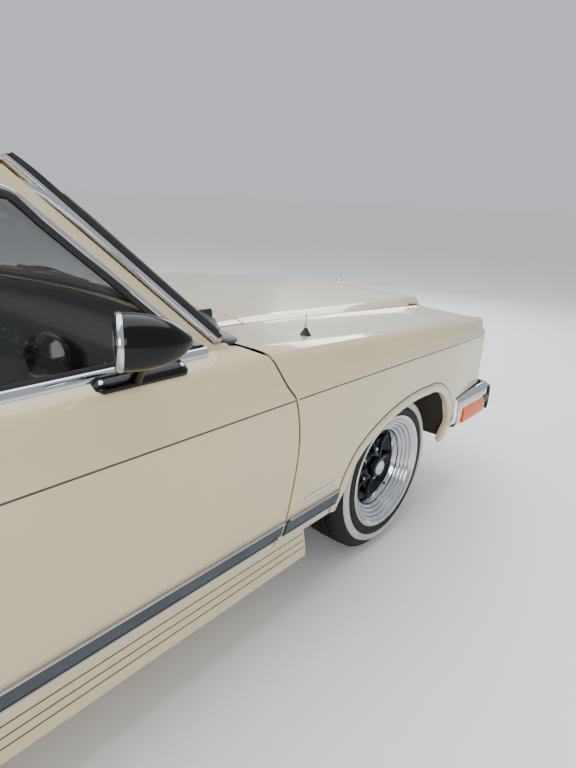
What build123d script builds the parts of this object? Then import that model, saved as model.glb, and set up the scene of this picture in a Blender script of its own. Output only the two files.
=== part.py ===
"""A full-size four-door sedan of the late 1970s, built as separate panels around a hollow cabin.

Frame: +X points to the front of the car, +Y to its left, +Z up. The origin lies on the ground under the
middle of the overall length, on the car's centre plane. All sizes are millimetres.
"""
import os

from build123d import *

os.makedirs("parts", exist_ok=True)

# Overall package
LENGTH = 5022.0
HALF_WIDTH = 934.0
ROOF_Z = 1425.0
WHEELBASE = 2791.0
FRONT_OVERHANG = 945.0
FRONT_AXLE_X = LENGTH / 2 - FRONT_OVERHANG
REAR_AXLE_X = FRONT_AXLE_X - WHEELBASE
NOSE_X = 2430.0
NOSE_CORNER_X = 2322.0
TAIL_X = -2430.0
TAIL_CORNER_X = -2385.0

# Wheels, tyres and their openings
TYRE_R = 330.0
TYRE_W = 200.0
RIM_R = 184.0
RIM_W = 158.0
WHEEL_Z = 325.0
FRONT_WHEEL_Y = 779.0
REAR_WHEEL_Y = 752.0
ARCH_HALF_FRONT = 385.0
ARCH_HALF_REAR = 385.0
ARCH_FRONT_Z = 610.0
ARCH_REAR_Z = 585.0
ARCH_FOOT_Z = 330.0
KINGPIN_Y = 655.0
STEER_DEG = 30.0

# Walls and running gaps
SKIN = 8.0
LID_T = 18.0
DOOR_T = 70.0
FRAME_T = 42.0
GAP = 8.0
CLEAR = 6.0
SEAT_GAP = 0.3

# Side section: how far each line lies inside the widest plane, and its height
BELT_IN = 98.0
FLARE_IN = 21.0
FLARE_UP = 31.0
LOW_IN = 3.0
LOW_Z = 420.0
FOOT_IN = 26.0
FOOT_Z = 328.0
WALL_RUN = 36.0
CREST_CUT = 13.0
SILL_Z = 216.0
SILL_IN = 40.0
SILL_W = 104.0

# Body stations, front to rear. Columns: x, centre height, hood edge half width, hood edge height, drop from the
# hood edge to the fender top, crest height, rise from the crest to the belt line, plan taper, crease height,
# crest set in from the side
STATIONS = [
    (NOSE_X, 884, 474, 864, 44, 824, -10, 50, 758, 24),
    (2000, 902, 484, 883, 32, 860, -8, 8, 781, 38),
    (1566, 920, 494, 904, 22, 884, -4, 1, 792, 50),
    (1100, 938, 510, 926, 12, 906, 12, 0, 799, 50),
    (700, 950, 540, 944, 6, 919, 33, 0, 803, 50),
    (-200, 966, 560, 960, 3, 932, 24, 0, 812, 50),
    (-1225, 990, 600, 982, 14, 930, 22, 2, 806, 50),
    (-1900, 976, 600, 966, 20, 916, 18, 22, 792, 46),
    (TAIL_X, 950, 600, 940, 24, 894, 14, 62, 776, 36),
]

# Greenhouse, each corner as half width, front x and rear x at the belt and at the top plane
BELT_Z = 953.0
GH_FOOT_Z = 915.0
GH_TOP_Z = 1480.0
TUMBLE = 0.30
GH_SIDE_BELT = 838.0
GH_FRONT_NARROW = 24.0
GH_REAR_NARROW = 34.0
WS_CORNER_X = 775.0
WS_RUN = 1.057
WS_BOW_BELT = 150.0
WS_BOW_TOP = 70.0
BL_CORNER_X = -1060.0
BL_RUN = 0.55
BL_BOW_BELT = 90.0
BL_BOW_TOP = 40.0
ROOF_CROWN_R = 7000.0
ROOF_CROWN_X = -180.0
GLASS_IN = 10.0
GLASS_T = 5.0

# Doors, in side view
DOOR_SPLIT_X = -185.0
DOOR_TOP_Z = 1356.0
DOOR_BULGE = (941.0, 610.0)
DOOR_CREASE = (917.0, 801.0)
DOOR_SHOULDER = (867.0, 917.0)
DOOR_CORNER = (792.0, 951.0)
DOOR_FOOT_X = 872.0
FRAME_LEAD = 22.0
FRAME_SIDE = 46.0
FRAME_FRONT_X = 733.0
REAR_DOOR_BELT_X = -885.0
REAR_DOOR_TOP_X = -650.0
REAR_DOOR_KNEE = (-900.0, 640.0)
REAR_DOOR_FOOT_X = -800.0
FRONT_HINGE_X = 838.0
REAR_HINGE_X = DOOR_SPLIT_X - 79.0
HINGE_Y = 915.0
HINGE_Z = (500.0, 720.0)
HINGE_PIN_R = 4.5
HINGE_EYE_R = 8.0
HINGE_EYE_H = 24.0
HINGE_ARM_H = 12.0
HINGE_POCKET_H = 64.0
PILLAR_Y = 788.0
POST_GAP = 28.0

# Hood and boot lid
HOOD_REAR_X = 1098.0
HOOD_AXIS_X = 1094.0
BOOT_FRONT_X = -1175.0
BOOT_AXIS_X = -1171.0
BOOT_HALF = 596.0


def side_prism(outline, grow=0.0):
    """A side-view outline, drawn by a function, run across the right half of the car."""
    with BuildPart() as prism:
        with BuildSketch(Plane.XZ):
            with BuildLine():
                outline()
            make_face()
            if grow:
                offset(amount=grow, kind=Kind.INTERSECTION)
        extrude(amount=1200)
    return prism.part


def side_window(points, radius, grow=0.0):
    """A side-view polygon with rounded corners, run across the right half of the car."""
    with BuildPart() as prism:
        with BuildSketch(Plane.XZ) as face:
            with BuildLine():
                Polyline(*points, close=True)
            make_face()
            fillet(face.vertices(), radius)
            if grow:
                offset(amount=grow)
        extrude(amount=1200)
    return prism.part


def end_window(points, radius, x0, x1, grow=0.0):
    """A front-view polygon (outward, up) with rounded corners, run along the car from x0 to x1."""
    with BuildPart() as prism:
        with BuildSketch(Plane(origin=(x0, 0, 0), x_dir=(0, -1, 0), z_dir=(-1, 0, 0))) as face:
            with BuildLine():
                Polyline(*points, close=True)
            make_face()
            if radius:
                fillet(face.vertices(), radius)
            if grow:
                offset(amount=grow)
        extrude(amount=x0 - x1)
    return prism.part


def plan_prism(points, low=0.0, high=1500.0):
    """A plan polygon given as (x, outward) on the right half, run up through the car."""
    with BuildPart() as prism:
        with BuildSketch(Plane.XY.offset(low)):
            with BuildLine():
                Polyline(*[(x, -out) for x, out in points], close=True)
            make_face()
        extrude(amount=high - low)
    return prism.part


def block(x0, x1, out0, out1, z0, z1):
    """A plain box on the right half, between two x, two outward distances and two heights."""
    with BuildPart() as part:
        with Locations(((x0 + x1) / 2, -(out0 + out1) / 2, (z0 + z1) / 2)):
            Box(abs(x1 - x0), abs(out1 - out0), abs(z1 - z0))
    return part.part


def section_points(row, inset):
    """Corners of the right half of one body section, centre line first, as (outward, up)."""
    x, centre_z, hood_half, hood_z, drop, crest_z, belt_rise, taper, crease_z, crest_in = row
    side = HALF_WIDTH - taper - inset
    lean = inset * 0.3
    return [
        (0, centre_z - inset),
        (hood_half - lean, hood_z - inset),
        (hood_half + WALL_RUN * 0.3 - lean, hood_z - drop * 0.22 - inset),
        (hood_half + WALL_RUN - lean, hood_z - drop * 0.84 - inset),
        (hood_half + WALL_RUN * 1.8 - lean, hood_z - drop - inset),
        (side - BELT_IN, crest_z + belt_rise - inset),
        (side - crest_in - CREST_CUT, crest_z + belt_rise * CREST_CUT / (BELT_IN - crest_in) - inset * 0.8),
        (side - crest_in + CREST_CUT / 3, crest_z - CREST_CUT - inset * 0.6),
        (side - FLARE_IN, crease_z + FLARE_UP),
        (side, crease_z),
        (side - LOW_IN, LOW_Z),
        (side - FOOT_IN, FOOT_Z - 1),
        (0, FOOT_Z - 1),
    ]


def half_hull(inset):
    """The right half of the lower body, as one closed loft through the stations."""
    with BuildPart() as hull:
        for row in STATIONS:
            plane = Plane(origin=(row[0], 0, 0), x_dir=(0, -1, 0), z_dir=(-1, 0, 0))
            with BuildSketch(plane):
                with BuildLine():
                    Polyline(*section_points(row, inset), close=True)
                make_face()
        loft(ruled=True)
    return hull.part


def plan_ends():
    """The plan shape that bows the nose and the tail, as one tall solid over the right half."""
    with BuildPart() as ends:
        with BuildSketch(Plane.XY):
            with BuildLine():
                nose = ThreePointArc((NOSE_CORNER_X, -HALF_WIDTH), (NOSE_X - 30, -HALF_WIDTH / 2), (NOSE_X - 4, 0))
                Line(nose @ 1, (TAIL_X + 4, 0))
                tail = ThreePointArc((TAIL_X + 4, 0), (TAIL_X + 14, -HALF_WIDTH / 2), (TAIL_CORNER_X, -HALF_WIDTH))
                Line(tail @ 1, (TAIL_CORNER_X, -HALF_WIDTH - 100))
                Line((TAIL_CORNER_X, -HALF_WIDTH - 100), (NOSE_CORNER_X, -HALF_WIDTH - 100))
                Line((NOSE_CORNER_X, -HALF_WIDTH - 100), nose @ 0)
            make_face()
        extrude(amount=1500)
    return ends.part


def greenhouse_outline(z, inset):
    """Plan outline of the greenhouse at one height: two bowed sides, windscreen and rear window."""
    rise = z - BELT_Z
    half = GH_SIDE_BELT - TUMBLE * rise - inset
    front = WS_CORNER_X - WS_RUN * rise - inset * 1.45
    rear = BL_CORNER_X + BL_RUN * rise + inset * 1.27
    share = rise / (GH_TOP_Z - BELT_Z)
    bow_front = WS_BOW_BELT + (WS_BOW_TOP - WS_BOW_BELT) * share
    bow_rear = BL_BOW_BELT + (BL_BOW_TOP - BL_BOW_BELT) * share
    middle = (front + rear) / 2
    a = (front, -(half - GH_FRONT_NARROW))
    b = (front, half - GH_FRONT_NARROW)
    c = (rear, half - GH_REAR_NARROW)
    d = (rear, -(half - GH_REAR_NARROW))
    ThreePointArc(a, (front + bow_front, 0), b)
    ThreePointArc(b, (middle, half), c)
    ThreePointArc(c, (rear - bow_rear, 0), d)
    ThreePointArc(d, (middle, -half), a)


def greenhouse(inset, crowned=True):
    """The cabin above the belt as one solid, with a roof crowned both ways unless it is left tall."""
    top_z = ROOF_Z - inset
    with BuildPart() as cabin:
        for z in (GH_FOOT_Z, GH_TOP_Z):
            with BuildSketch(Plane.XY.offset(z)):
                with BuildLine():
                    greenhouse_outline(z, inset)
                make_face()
        loft(ruled=True)
        if crowned:
            with Locations((ROOF_CROWN_X, 0, top_z - ROOF_CROWN_R)):
                Sphere(ROOF_CROWN_R, rotation=(90, 0, 0), mode=Mode.INTERSECT)
    return cabin.part


def arch_outline(axle_x, half, top_z):
    """A wheel opening with upright feet, flat shoulders and a broad crown."""
    foot = ARCH_FOOT_Z - 60
    a = (axle_x - half, foot)
    b = (axle_x - half, ARCH_FOOT_Z)
    c = (axle_x - half * 0.62, top_z - 78)
    d = (axle_x, top_z)
    e = (axle_x + half * 0.62, top_z - 78)
    f = (axle_x + half, ARCH_FOOT_Z)
    g = (axle_x + half, foot)
    Line(a, b)
    ThreePointArc(b, (axle_x - half * 0.9, ARCH_FOOT_Z + 116), c)
    ThreePointArc(c, d, e)
    ThreePointArc(e, (axle_x + half * 0.9, ARCH_FOOT_Z + 116), f)
    Line(f, g)
    Line(g, a)


def front_arch():
    """The front wheel opening, fuller at its front shoulder than at its rear."""
    x, top, foot = FRONT_AXLE_X, ARCH_FRONT_Z, ARCH_FOOT_Z
    Line((x - 379, foot - 60), (x - 379, foot))
    ThreePointArc((x - 379, foot), (x - 342, foot + 112), (x - 232, top - 72))
    ThreePointArc((x - 232, top - 72), (x - 20, top - 6), (x + 176, top))
    ThreePointArc((x + 176, top), (x + 304, top - 28), (x + 378, top - 100))
    ThreePointArc((x + 378, top - 100), (x + 398, top - 158), (x + 390, foot + 60))
    Line((x + 390, foot + 60), (x + 390, foot - 60))
    Line((x + 390, foot - 60), (x - 379, foot - 60))


def rear_arch():
    arch_outline(REAR_AXLE_X, ARCH_HALF_REAR, ARCH_REAR_Z)


def frame_line_x(z, back=0.0):
    """The x of the front edge of the front door frame at one height, moved back square to its slope."""
    return FRAME_FRONT_X - WS_RUN * (z - BELT_Z) - back * 1.455


def front_door_outline():
    """Side view of the front door: bulging front cut, step over the shoulder, frame along the pillar."""
    foot_z = FOOT_Z
    rear = DOOR_SPLIT_X + GAP / 2
    low = ThreePointArc((DOOR_FOOT_X, foot_z), (925, 515), DOOR_BULGE)
    mid = ThreePointArc(low @ 1, (938, 720), DOOR_CREASE)
    Polyline(
        mid @ 1, DOOR_SHOULDER, DOOR_CORNER, (frame_line_x(960), 960),
        (frame_line_x(DOOR_TOP_Z), DOOR_TOP_Z), (rear, DOOR_TOP_Z), (rear, foot_z), (DOOR_FOOT_X, foot_z),
    )


def rear_door_outline():
    """Side view of the rear door: straight front cut, frame along the roof pillar, knee over the wheel."""
    front = DOOR_SPLIT_X - GAP / 2
    knee_x, knee_z = REAR_DOOR_KNEE
    Polyline(
        (REAR_DOOR_FOOT_X, FOOT_Z), (front, FOOT_Z), (front, DOOR_TOP_Z), (REAR_DOOR_TOP_X, DOOR_TOP_Z),
        (REAR_DOOR_BELT_X, BELT_Z), (knee_x, knee_z),
    )
    ThreePointArc((knee_x, knee_z), (knee_x + 36, knee_z - 170), (REAR_DOOR_FOOT_X, FOOT_Z))


FRONT_WINDOW = [
    (frame_line_x(960, 40), 960), (frame_line_x(DOOR_TOP_Z - FRAME_SIDE, 40), DOOR_TOP_Z - FRAME_SIDE),
    (DOOR_SPLIT_X + 44, DOOR_TOP_Z - FRAME_SIDE), (DOOR_SPLIT_X + 44, 960),
]
REAR_WINDOW_TOP_X = REAR_DOOR_TOP_X + 70
REAR_WINDOW = [
    (DOOR_SPLIT_X - 44, 960), (DOOR_SPLIT_X - 44, DOOR_TOP_Z - FRAME_SIDE),
    (REAR_WINDOW_TOP_X, DOOR_TOP_Z - FRAME_SIDE), (REAR_DOOR_BELT_X + 52, 960),
]
WINDSHIELD = [(-786, 962), (786, 962), (668, 1342), (0, 1364), (-668, 1342)]
BACKLIGHT = [(-752, 1004), (752, 1004), (652, 1336), (0, 1354), (-652, 1336)]

HULL = half_hull(0) & plan_ends()
SHELL = HULL - half_hull(SKIN)
CABIN = greenhouse(0)
CABIN_INNER = greenhouse(FRAME_T)
GREENHOUSE = CABIN - CABIN_INNER
GLASS_SHELL = greenhouse(GLASS_IN) - greenhouse(GLASS_IN + GLASS_T)
FRAME_SHELL = CABIN - greenhouse(FRAME_T, crowned=False)
INSIDE_DOORS = greenhouse(FRAME_T + 22, crowned=False) & plan_prism([(-1400, -1200), (1400, -1200), (1400, 1200), (-1400, 1200)], 960, 1500)

# Bumpers: heights, outer faces and how far the ends wrap round the sides
BUMPER_LOW_Z = 375.0
BUMPER_TOP_Z = 515.0
BUMPER_OUT = 941.0
BUMPER_END_IN = 24.0
FRONT_WRAP_X = 2048.0
REAR_WRAP_X = -1800.0
BUMPER_T = 6.0
PLATE_HOLES = 177.8
PLATE_HOLE_R = 3.5
PLATE_Z = 445.0

# Running gear
AXLE_STUB_R = 16.0
KINGPIN_R = 14.0
BALL_R = 8.0
RUN = 0.4
ARM_LOW_Z = 222.0
ARM_TOP_Z = 414.0
RAIL_OUT = (370.0, 425.0)
RAIL_Z = (300.0, 400.0)
APRON_OUT = (494.0, 506.0)
FLOOR_Z = 232.0
FLOOR_TOP_Z = 250.0
BOOT_FLOOR_Z = 430.0
WHEELHOUSE_OUT = 616.0
FIREWALL_X = 1010.0

# Cabin
SEAT_HALF = 640.0
STEERING_Y = 370.0
STEERING_X = 395.0
STEERING_Z = 820.0
STEERING_R = 190.0
STEERING_GRIP_R = 11.0
COLUMN_RAKE = 24.0

# Lamps and grille, on the nose
GRILLE_HALF = 455.0
GRILLE_Z = (545.0, 810.0)
HEADLAMP_OUT = (560.0, 850.0)
HEADLAMP_Z = (620.0, 790.0)
TURN_Z = (545.0, 600.0)
TAIL_LAMP_OUT = (640.0, 860.0)
TAIL_LAMP_Z = (590.0, 770.0)
LAMP_T = 30.0

# Mirrors
MIRROR_X = 520.0
MIRROR_OUT = 960.0
MIRROR_Z = 1045.0


def both(part):
    """The right-hand part joined with its mirror image."""
    return part + part.mirror(Plane.XZ)


def left_of(part):
    """The mirror image of a right-hand part."""
    return part.mirror(Plane.XZ)


def rod(start, end, radius):
    """A plain round bar between two points."""
    a, b = Vector(*start), Vector(*end)
    with BuildPart() as bar:
        with BuildSketch(Plane(origin=a, z_dir=(b - a).normalized())):
            Circle(radius)
        extrude(amount=(b - a).length)
    return bar.part


def save(part, label):
    """Name a finished part and write it as its own file."""
    part.label = label
    export_step(part, f"parts/{label}.step")


def end_slab(front, depth):
    """A plate of one depth that follows the bowed nose or tail, over the right half."""
    shift = -depth if front else depth
    inner = Pos(shift, 0, 0) * plan_ends()
    slab = HULL - inner
    keep = block(1500, 2600, -1, 1200, 0, 1500) if front else block(-2600, -1500, -1, 1200, 0, 1500)
    return slab & keep


def top_z(x, out):
    """Height of the body's upper surface at one x and outward distance inside the hood edge."""
    for front, rear in zip(STATIONS, STATIONS[1:]):
        if rear[0] <= x <= front[0]:
            share = (front[0] - x) / (front[0] - rear[0])
            centre, half, edge = [front[i] + (rear[i] - front[i]) * share for i in (1, 2, 3)]
            return centre + (edge - centre) * out / half
    return 0.0


LID_HINGE_OUT = 420.0
LID_PIN_R = 2.6
LID_EYE_R = 5.0


def lid_hinge(x, side):
    """Flush hinge at one lid's edge: the body's ears with their pin, the lid's eye, and the two notches.

    side is -1 where the lid lies behind the axis and 1 where it lies ahead of it.
    """
    z = top_z(x, LID_HINGE_OUT) - 4.6
    out = LID_HINGE_OUT
    ears = rod((x, -out - 30, z), (x, -out + 30, z), LID_PIN_R)
    for y in (-30, 22):
        ears += rod((x, -out + y, z), (x, -out + y + 8, z), LID_EYE_R)
        ears += block(x, x - side * 16, out - y - 8, out - y, z - 5, z + 1)
    eye = rod((x, -out - 20, z), (x, -out + 20, z), LID_EYE_R) + block(x, x + side * 16, out - 20, out + 20, z - 5, z + 1)
    eye = eye - rod((x, -out - 21, z), (x, -out + 21, z), LID_PIN_R + SEAT_GAP)
    lid_notch = block(x, x + side * 11, out - 34, out - 21, z - 40, z + 40)
    lid_notch += block(x, x + side * 11, out + 21, out + 34, z - 40, z + 40)
    body_notch = block(x, x - side * 11, out - 22, out + 22, z - 40, z + 40)
    return ears, eye, lid_notch, body_notch


# The crowned lids stand higher in the middle, so their edges swing past the axis there: (out, extra gap)
HOOD_SWING = [(-1, 11.0), (110, 10.4), (226, 7.0), (330, 3.8), (384, 2.0)]
BOOT_SWING = [(-1, 11.0), (110, 10.6), (226, 8.6), (330, 6.2), (384, 5.0)]


def lid_swing(edge_x, side, rows):
    """Plan region cut from the body's edge behind the axis, so that the crowned lid's edge swings clear."""
    relief = [(edge_x + side, -1)]
    relief += [(edge_x - side * extra, out) for out, extra in rows]
    relief += [(edge_x + side, 384)]
    return plan_prism(relief, 840, 1100)


# Plan regions of the lids and fenders
HOOD_EDGE = [(2450, 474), (2000, 484), (1566, 494), (1100, 510), (700, 540)]
HOOD_FRONT_X = 2273.0
HOOD_PLAN = [(HOOD_FRONT_X, -1), (HOOD_REAR_X, -1)]
HOOD_PLAN += [(HOOD_REAR_X, 510 + WALL_RUN), (1566, 494 + WALL_RUN), (2000, 484 + WALL_RUN)]
HOOD_PLAN += [(HOOD_FRONT_X, 477 + WALL_RUN)]
FENDER_PLAN = [(2460, 482 + WALL_RUN), (2000, 492 + WALL_RUN), (1566, 502 + WALL_RUN), (1100, 518 + WALL_RUN)]
FENDER_PLAN += [(760, 544 + WALL_RUN), (760, 1100), (2460, 1100)]

front_door_hole = side_prism(front_door_outline, GAP)
rear_door_hole = side_prism(rear_door_outline, GAP)
arch_front = side_prism(front_arch)
arch_rear = side_prism(rear_arch)

# Bumpers: a bar that follows the bowed end and wraps round the sides
def bumper_outline(front, inset):
    """Plan outline of one bumper, taken in by an inset from its outer face."""
    sign = 1 if front else -1
    wrap_x = FRONT_WRAP_X if front else REAR_WRAP_X
    end_x = LENGTH / 2 - inset
    corner_x = LENGTH / 2 - 70
    side = BUMPER_OUT - inset
    round_x = corner_x - 16 - inset * 0.7
    round_y = BUMPER_OUT - 30 - inset * 0.7
    a, g = (wrap_x, -side), (wrap_x, side)
    b, f = (sign * (corner_x - 60), -side), (sign * (corner_x - 60), side)
    c, e = (sign * (corner_x - inset), -(BUMPER_OUT - 90)), (sign * (corner_x - inset), BUMPER_OUT - 90)
    d = (sign * end_x, 0)
    Line(a, b)
    ThreePointArc(b, (sign * round_x, -round_y), c)
    ThreePointArc(c, (sign * (end_x - 17), -430), d)
    ThreePointArc(d, (sign * (end_x - 17), 430), e)
    ThreePointArc(e, (sign * round_x, round_y), f)
    Line(f, g)
    Line(g, a)


def bumper_core(front, inset, z0, z1):
    """The solid inside one bumper outline between two heights."""
    with BuildPart() as core:
        with BuildSketch(Plane.XY.offset(z0)):
            with BuildLine():
                bumper_outline(front, inset)
            make_face()
        extrude(amount=z1 - z0)
    return core.part


def bumper(front):
    """One bumper bar of channel section with its two wings, over both halves."""
    low, high = BUMPER_LOW_Z, BUMPER_TOP_Z
    bar = bumper_core(front, 0, low, high)
    bar = bar - bumper_core(front, BUMPER_T + 4, low + BUMPER_T, high - BUMPER_T)
    return bar - bumper_core(front, 74, low - 1, high + 1)


front_bumper = bumper(True)
rear_bumper = bumper(False)
for out in (-PLATE_HOLES / 2, PLATE_HOLES / 2):
    front_bumper = front_bumper - rod((2440, out, PLATE_Z), (2600, out, PLATE_Z), PLATE_HOLE_R)
    rear_bumper = rear_bumper - rod((-2440, out, PLATE_Z), (-2600, out, PLATE_Z), PLATE_HOLE_R)
front_notch = block(FRONT_WRAP_X - CLEAR, 2600, BUMPER_OUT - 110, 1100, 200, BUMPER_TOP_Z + CLEAR)
front_notch += block(2300, 2600, -1, 1100, 200, BUMPER_TOP_Z + CLEAR)
rear_notch = block(-2600, REAR_WRAP_X + CLEAR, BUMPER_OUT - 110, 1100, 200, BUMPER_TOP_Z + CLEAR)
rear_notch += block(-2600, -2300, -1, 1100, 200, BUMPER_TOP_Z + CLEAR)

# Fenders
lamp_notch = block(2150, 2600, -1, HEADLAMP_OUT[0] - 30, 200, 1100)
nose_fender = end_slab(True, 12) & plan_prism([(2600, 508), (1900, 508), (1900, 1100), (2600, 1100)])
fender = (SHELL & plan_prism(FENDER_PLAN)) + nose_fender
fender = fender - block(2300, 2600, HEADLAMP_OUT[0] - SEAT_GAP, HEADLAMP_OUT[1] + SEAT_GAP, HEADLAMP_Z[0] - SEAT_GAP, HEADLAMP_Z[1] + SEAT_GAP)
fender = fender - block(2300, 2600, HEADLAMP_OUT[0] - SEAT_GAP, HEADLAMP_OUT[1] + SEAT_GAP, TURN_Z[0] - SEAT_GAP, TURN_Z[1] + SEAT_GAP)
fender = fender - front_door_hole - arch_front - front_notch
fender = fender - block(700, 1120, 520, 1100, 936, 1500) - block(700, 860, 520, 1100, 200, 700)
fender = fender - greenhouse(-CLEAR) - block(600, 2460, 0, 925 - 60, FOOT_Z - 5, 430)
save(fender, "fender_right")
save(left_of(fender), "fender_left")

# Hood
hood = (HULL - half_hull(LID_T)) & plan_prism(HOOD_PLAN, 820, 1000)
hood_ears, hood_eye, hood_notch, cowl_notch = lid_hinge(HOOD_AXIS_X, 1)
save(both(hood - hood_notch + hood_eye), "hood")

# Header and nose panel between the fenders
header = SHELL & plan_prism([(2600, -1), (HOOD_FRONT_X + GAP, -1), (HOOD_FRONT_X + GAP, 500), (2600, 500)], 700, 1000)
nose = end_slab(True, 12) & block(2000, 2600, -1, 500, BUMPER_TOP_Z + CLEAR, 1000)
nose = nose - block(2300, 2600, -1, GRILLE_HALF, GRILLE_Z[0], GRILLE_Z[1])
save(both(header + nose), "front_panel")

# Boot lid and rear panel
BOOT_PLAN = [(BOOT_FRONT_X, -1), (BOOT_FRONT_X, BOOT_HALF), (-2600, BOOT_HALF), (-2600, -1)]
BOOT_HOLE = [(BOOT_FRONT_X + GAP, -1), (BOOT_FRONT_X + GAP, BOOT_HALF + GAP), (-2600, BOOT_HALF + GAP), (-2600, -1)]
boot_top = (HULL - half_hull(LID_T)) & plan_prism(BOOT_PLAN, 860, 1100)
boot_face = end_slab(False, LID_T) & block(-2600, -2200, -1, BOOT_HALF, 600, 1100)
boot_ears, boot_eye, boot_notch, deck_notch = lid_hinge(BOOT_AXIS_X, -1)
save(both(boot_top + boot_face - boot_notch + boot_eye), "trunk_lid")

# Body shell
quarter = SHELL & block(-2600, -700, -1, 1100, FOOT_Z - 5, 1100)
quarter = quarter + (end_slab(False, 12) & block(-2600, -2200, -1, 1100, BUMPER_TOP_Z + CLEAR, 1100))
quarter = quarter - plan_prism(BOOT_HOLE, 840, 1100) - lid_swing(BOOT_FRONT_X + GAP, -1, BOOT_SWING)
quarter = quarter - block(-2600, -2200, -1, BOOT_HALF + GAP, 600 - GAP, 1100)
quarter = quarter - rear_door_hole - arch_rear - rear_notch
quarter = quarter - block(-870, -600, -1, 1100, 200, 1100) + (
    SHELL & block(-980, -700, 780, 1100, FOOT_Z - 5, 1100) & side_prism(rear_door_outline, 60)
    - rear_door_hole - arch_rear
)
quarter = quarter - block(-2600, -2300, TAIL_LAMP_OUT[0] - SEAT_GAP, TAIL_LAMP_OUT[1] + SEAT_GAP, TAIL_LAMP_Z[0] - SEAT_GAP, TAIL_LAMP_Z[1] + SEAT_GAP)
cowl = SHELL & plan_prism([(HOOD_REAR_X - GAP, -1), (HOOD_REAR_X - GAP, 508 + WALL_RUN), (740, 536 + WALL_RUN), (740, -1)], 850, 1000)
cabin_half = block(-1300, 1100, -1, 1100, 936, 1500)
upper = (GREENHOUSE & cabin_half) - (front_door_hole - INSIDE_DOORS) - (rear_door_hole - INSIDE_DOORS)
upper = upper - block(-860, 760, 700, 1100, 900, 965)
upper = upper - end_window(WINDSHIELD, 30, 1300, 300) - end_window(BACKLIGHT, 40, -500, -1400)
cowl = cowl - CABIN_INNER - lid_swing(HOOD_REAR_X - GAP, 1, HOOD_SWING)
post_b = (greenhouse(FRAME_T + POST_GAP) - greenhouse(FRAME_T + POST_GAP + 40)) & block(-250, -120, 300, 1100, 936, 1500)
post_top = block(-250, -120, 612, 648, 1290, 1374)
post_b_low = block(-290, -120, PILLAR_Y - 50, PILLAR_Y, FLOOR_Z, 860) + block(-290, -120, PILLAR_Y - 50, 765, 850, 948)
post_a = block(760, 900, PILLAR_Y - 60, PILLAR_Y, FLOOR_Z, 850) + block(760, 900, PILLAR_Y - 60, 777, 840, 912)
post_a += block(745, 775, PILLAR_Y - 48, PILLAR_Y, 880, 962)
rocker = block(-876, 1036, 692, 890, SILL_Z, FOOT_Z - GAP) - block(-890, 1050, 704, 878, SILL_Z + 8, FOOT_Z - GAP - 8)
shelf = block(-1240, -900, -1, 700, 930, 944) - plan_prism(BOOT_HOLE, 840, 1100) - lid_swing(BOOT_FRONT_X + GAP, -1, BOOT_SWING)


# Glass
shield_glass = (GLASS_SHELL & block(-1300, 1100, -1, 1100, 936, 1500)) & end_window(WINDSHIELD, 30, 1300, 300, -SEAT_GAP)
back_glass = (GLASS_SHELL & block(-1300, 1100, -1, 1100, 936, 1500)) & end_window(BACKLIGHT, 40, -500, -1400, -SEAT_GAP)
save(both(shield_glass), "windshield")
save(both(back_glass), "rear_window")


def door(outline, window, hinge_x, label):
    """One hollow-edged door: thick lower wall, frame round the window and two hinge pockets with pins."""
    prism = side_prism(outline)
    keep = block(-1300, 1100, PILLAR_Y + GAP, 1100, 200, 1000)
    wall = (HULL - half_hull(DOOR_T)) & prism & keep
    frame = (FRAME_SHELL & prism & block(-1300, 1100, 500, 1100, 940, 1500)) - side_window(window, 24)
    frame = frame - block(-1300, 1100, 0, PILLAR_Y + GAP, 900, 959)
    frame = frame - end_window([(0, 900), (788, 900), (638, 1400), (0, 1400)], 0, 1300, 300)
    leaf = wall + frame
    for z in HINGE_Z:
        half = HINGE_POCKET_H / 2
        pocket = block(hinge_x - 18, hinge_x + 130, 780, HINGE_Y + HINGE_EYE_R + 5, z - half, z + half)
        pin = rod((hinge_x, -HINGE_Y, z - half - 4), (hinge_x, -HINGE_Y, z + half + 4), HINGE_PIN_R)
        leaf = leaf - pocket + pin
    pane = (GLASS_SHELL & block(-1300, 1100, 500, 1100, 950, 1500)) & side_window(window, 24, -SEAT_GAP)
    save(leaf, f"door_{label}_right")
    save(left_of(leaf), f"door_{label}_left")
    save(pane, f"glass_{label}_right")
    save(left_of(pane), f"glass_{label}_left")
    return leaf


def hinge_arms(hinge_x):
    """The pair of arms, each with an eye, that stand off one post and carry a door."""
    arms = []
    for z in HINGE_Z:
        z0, z1 = z - HINGE_ARM_H / 2, z + HINGE_ARM_H / 2
        with BuildPart() as arm:
            with BuildSketch(Plane.XY.offset(z0)):
                with BuildLine():
                    Polyline(
                        (hinge_x - 10, -PILLAR_Y + 4), (hinge_x + 12, -PILLAR_Y + 4),
                        (hinge_x + 6, -HINGE_Y + 4), (hinge_x - 6, -HINGE_Y + 4), close=True,
                    )
                make_face()
            extrude(amount=HINGE_ARM_H)
            with Locations((hinge_x, -HINGE_Y, z)):
                Cylinder(HINGE_EYE_R, HINGE_EYE_H)
                Cylinder(HINGE_PIN_R + SEAT_GAP, HINGE_EYE_H * 2, mode=Mode.SUBTRACT)
        arms.append(arm.part)
    return arms


front_arms = hinge_arms(FRONT_HINGE_X)
rear_arms = hinge_arms(REAR_HINGE_X)
front_leaf = door(front_door_outline, FRONT_WINDOW, FRONT_HINGE_X, "front")
rear_leaf = door(rear_door_outline, REAR_WINDOW, REAR_HINGE_X, "rear")

shell_half = upper + quarter + cowl + post_b + post_top + post_b_low + post_a + rocker + shelf
shell_half = shell_half - cowl_notch - deck_notch - block(728, 900, 792, 1100, 936, 967)
for piece in front_arms + rear_arms + [hood_ears, boot_ears]:
    shell_half = shell_half + piece
save(both(shell_half), "body_shell")
save(front_bumper, "front_bumper")
save(rear_bumper, "rear_bumper")

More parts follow.
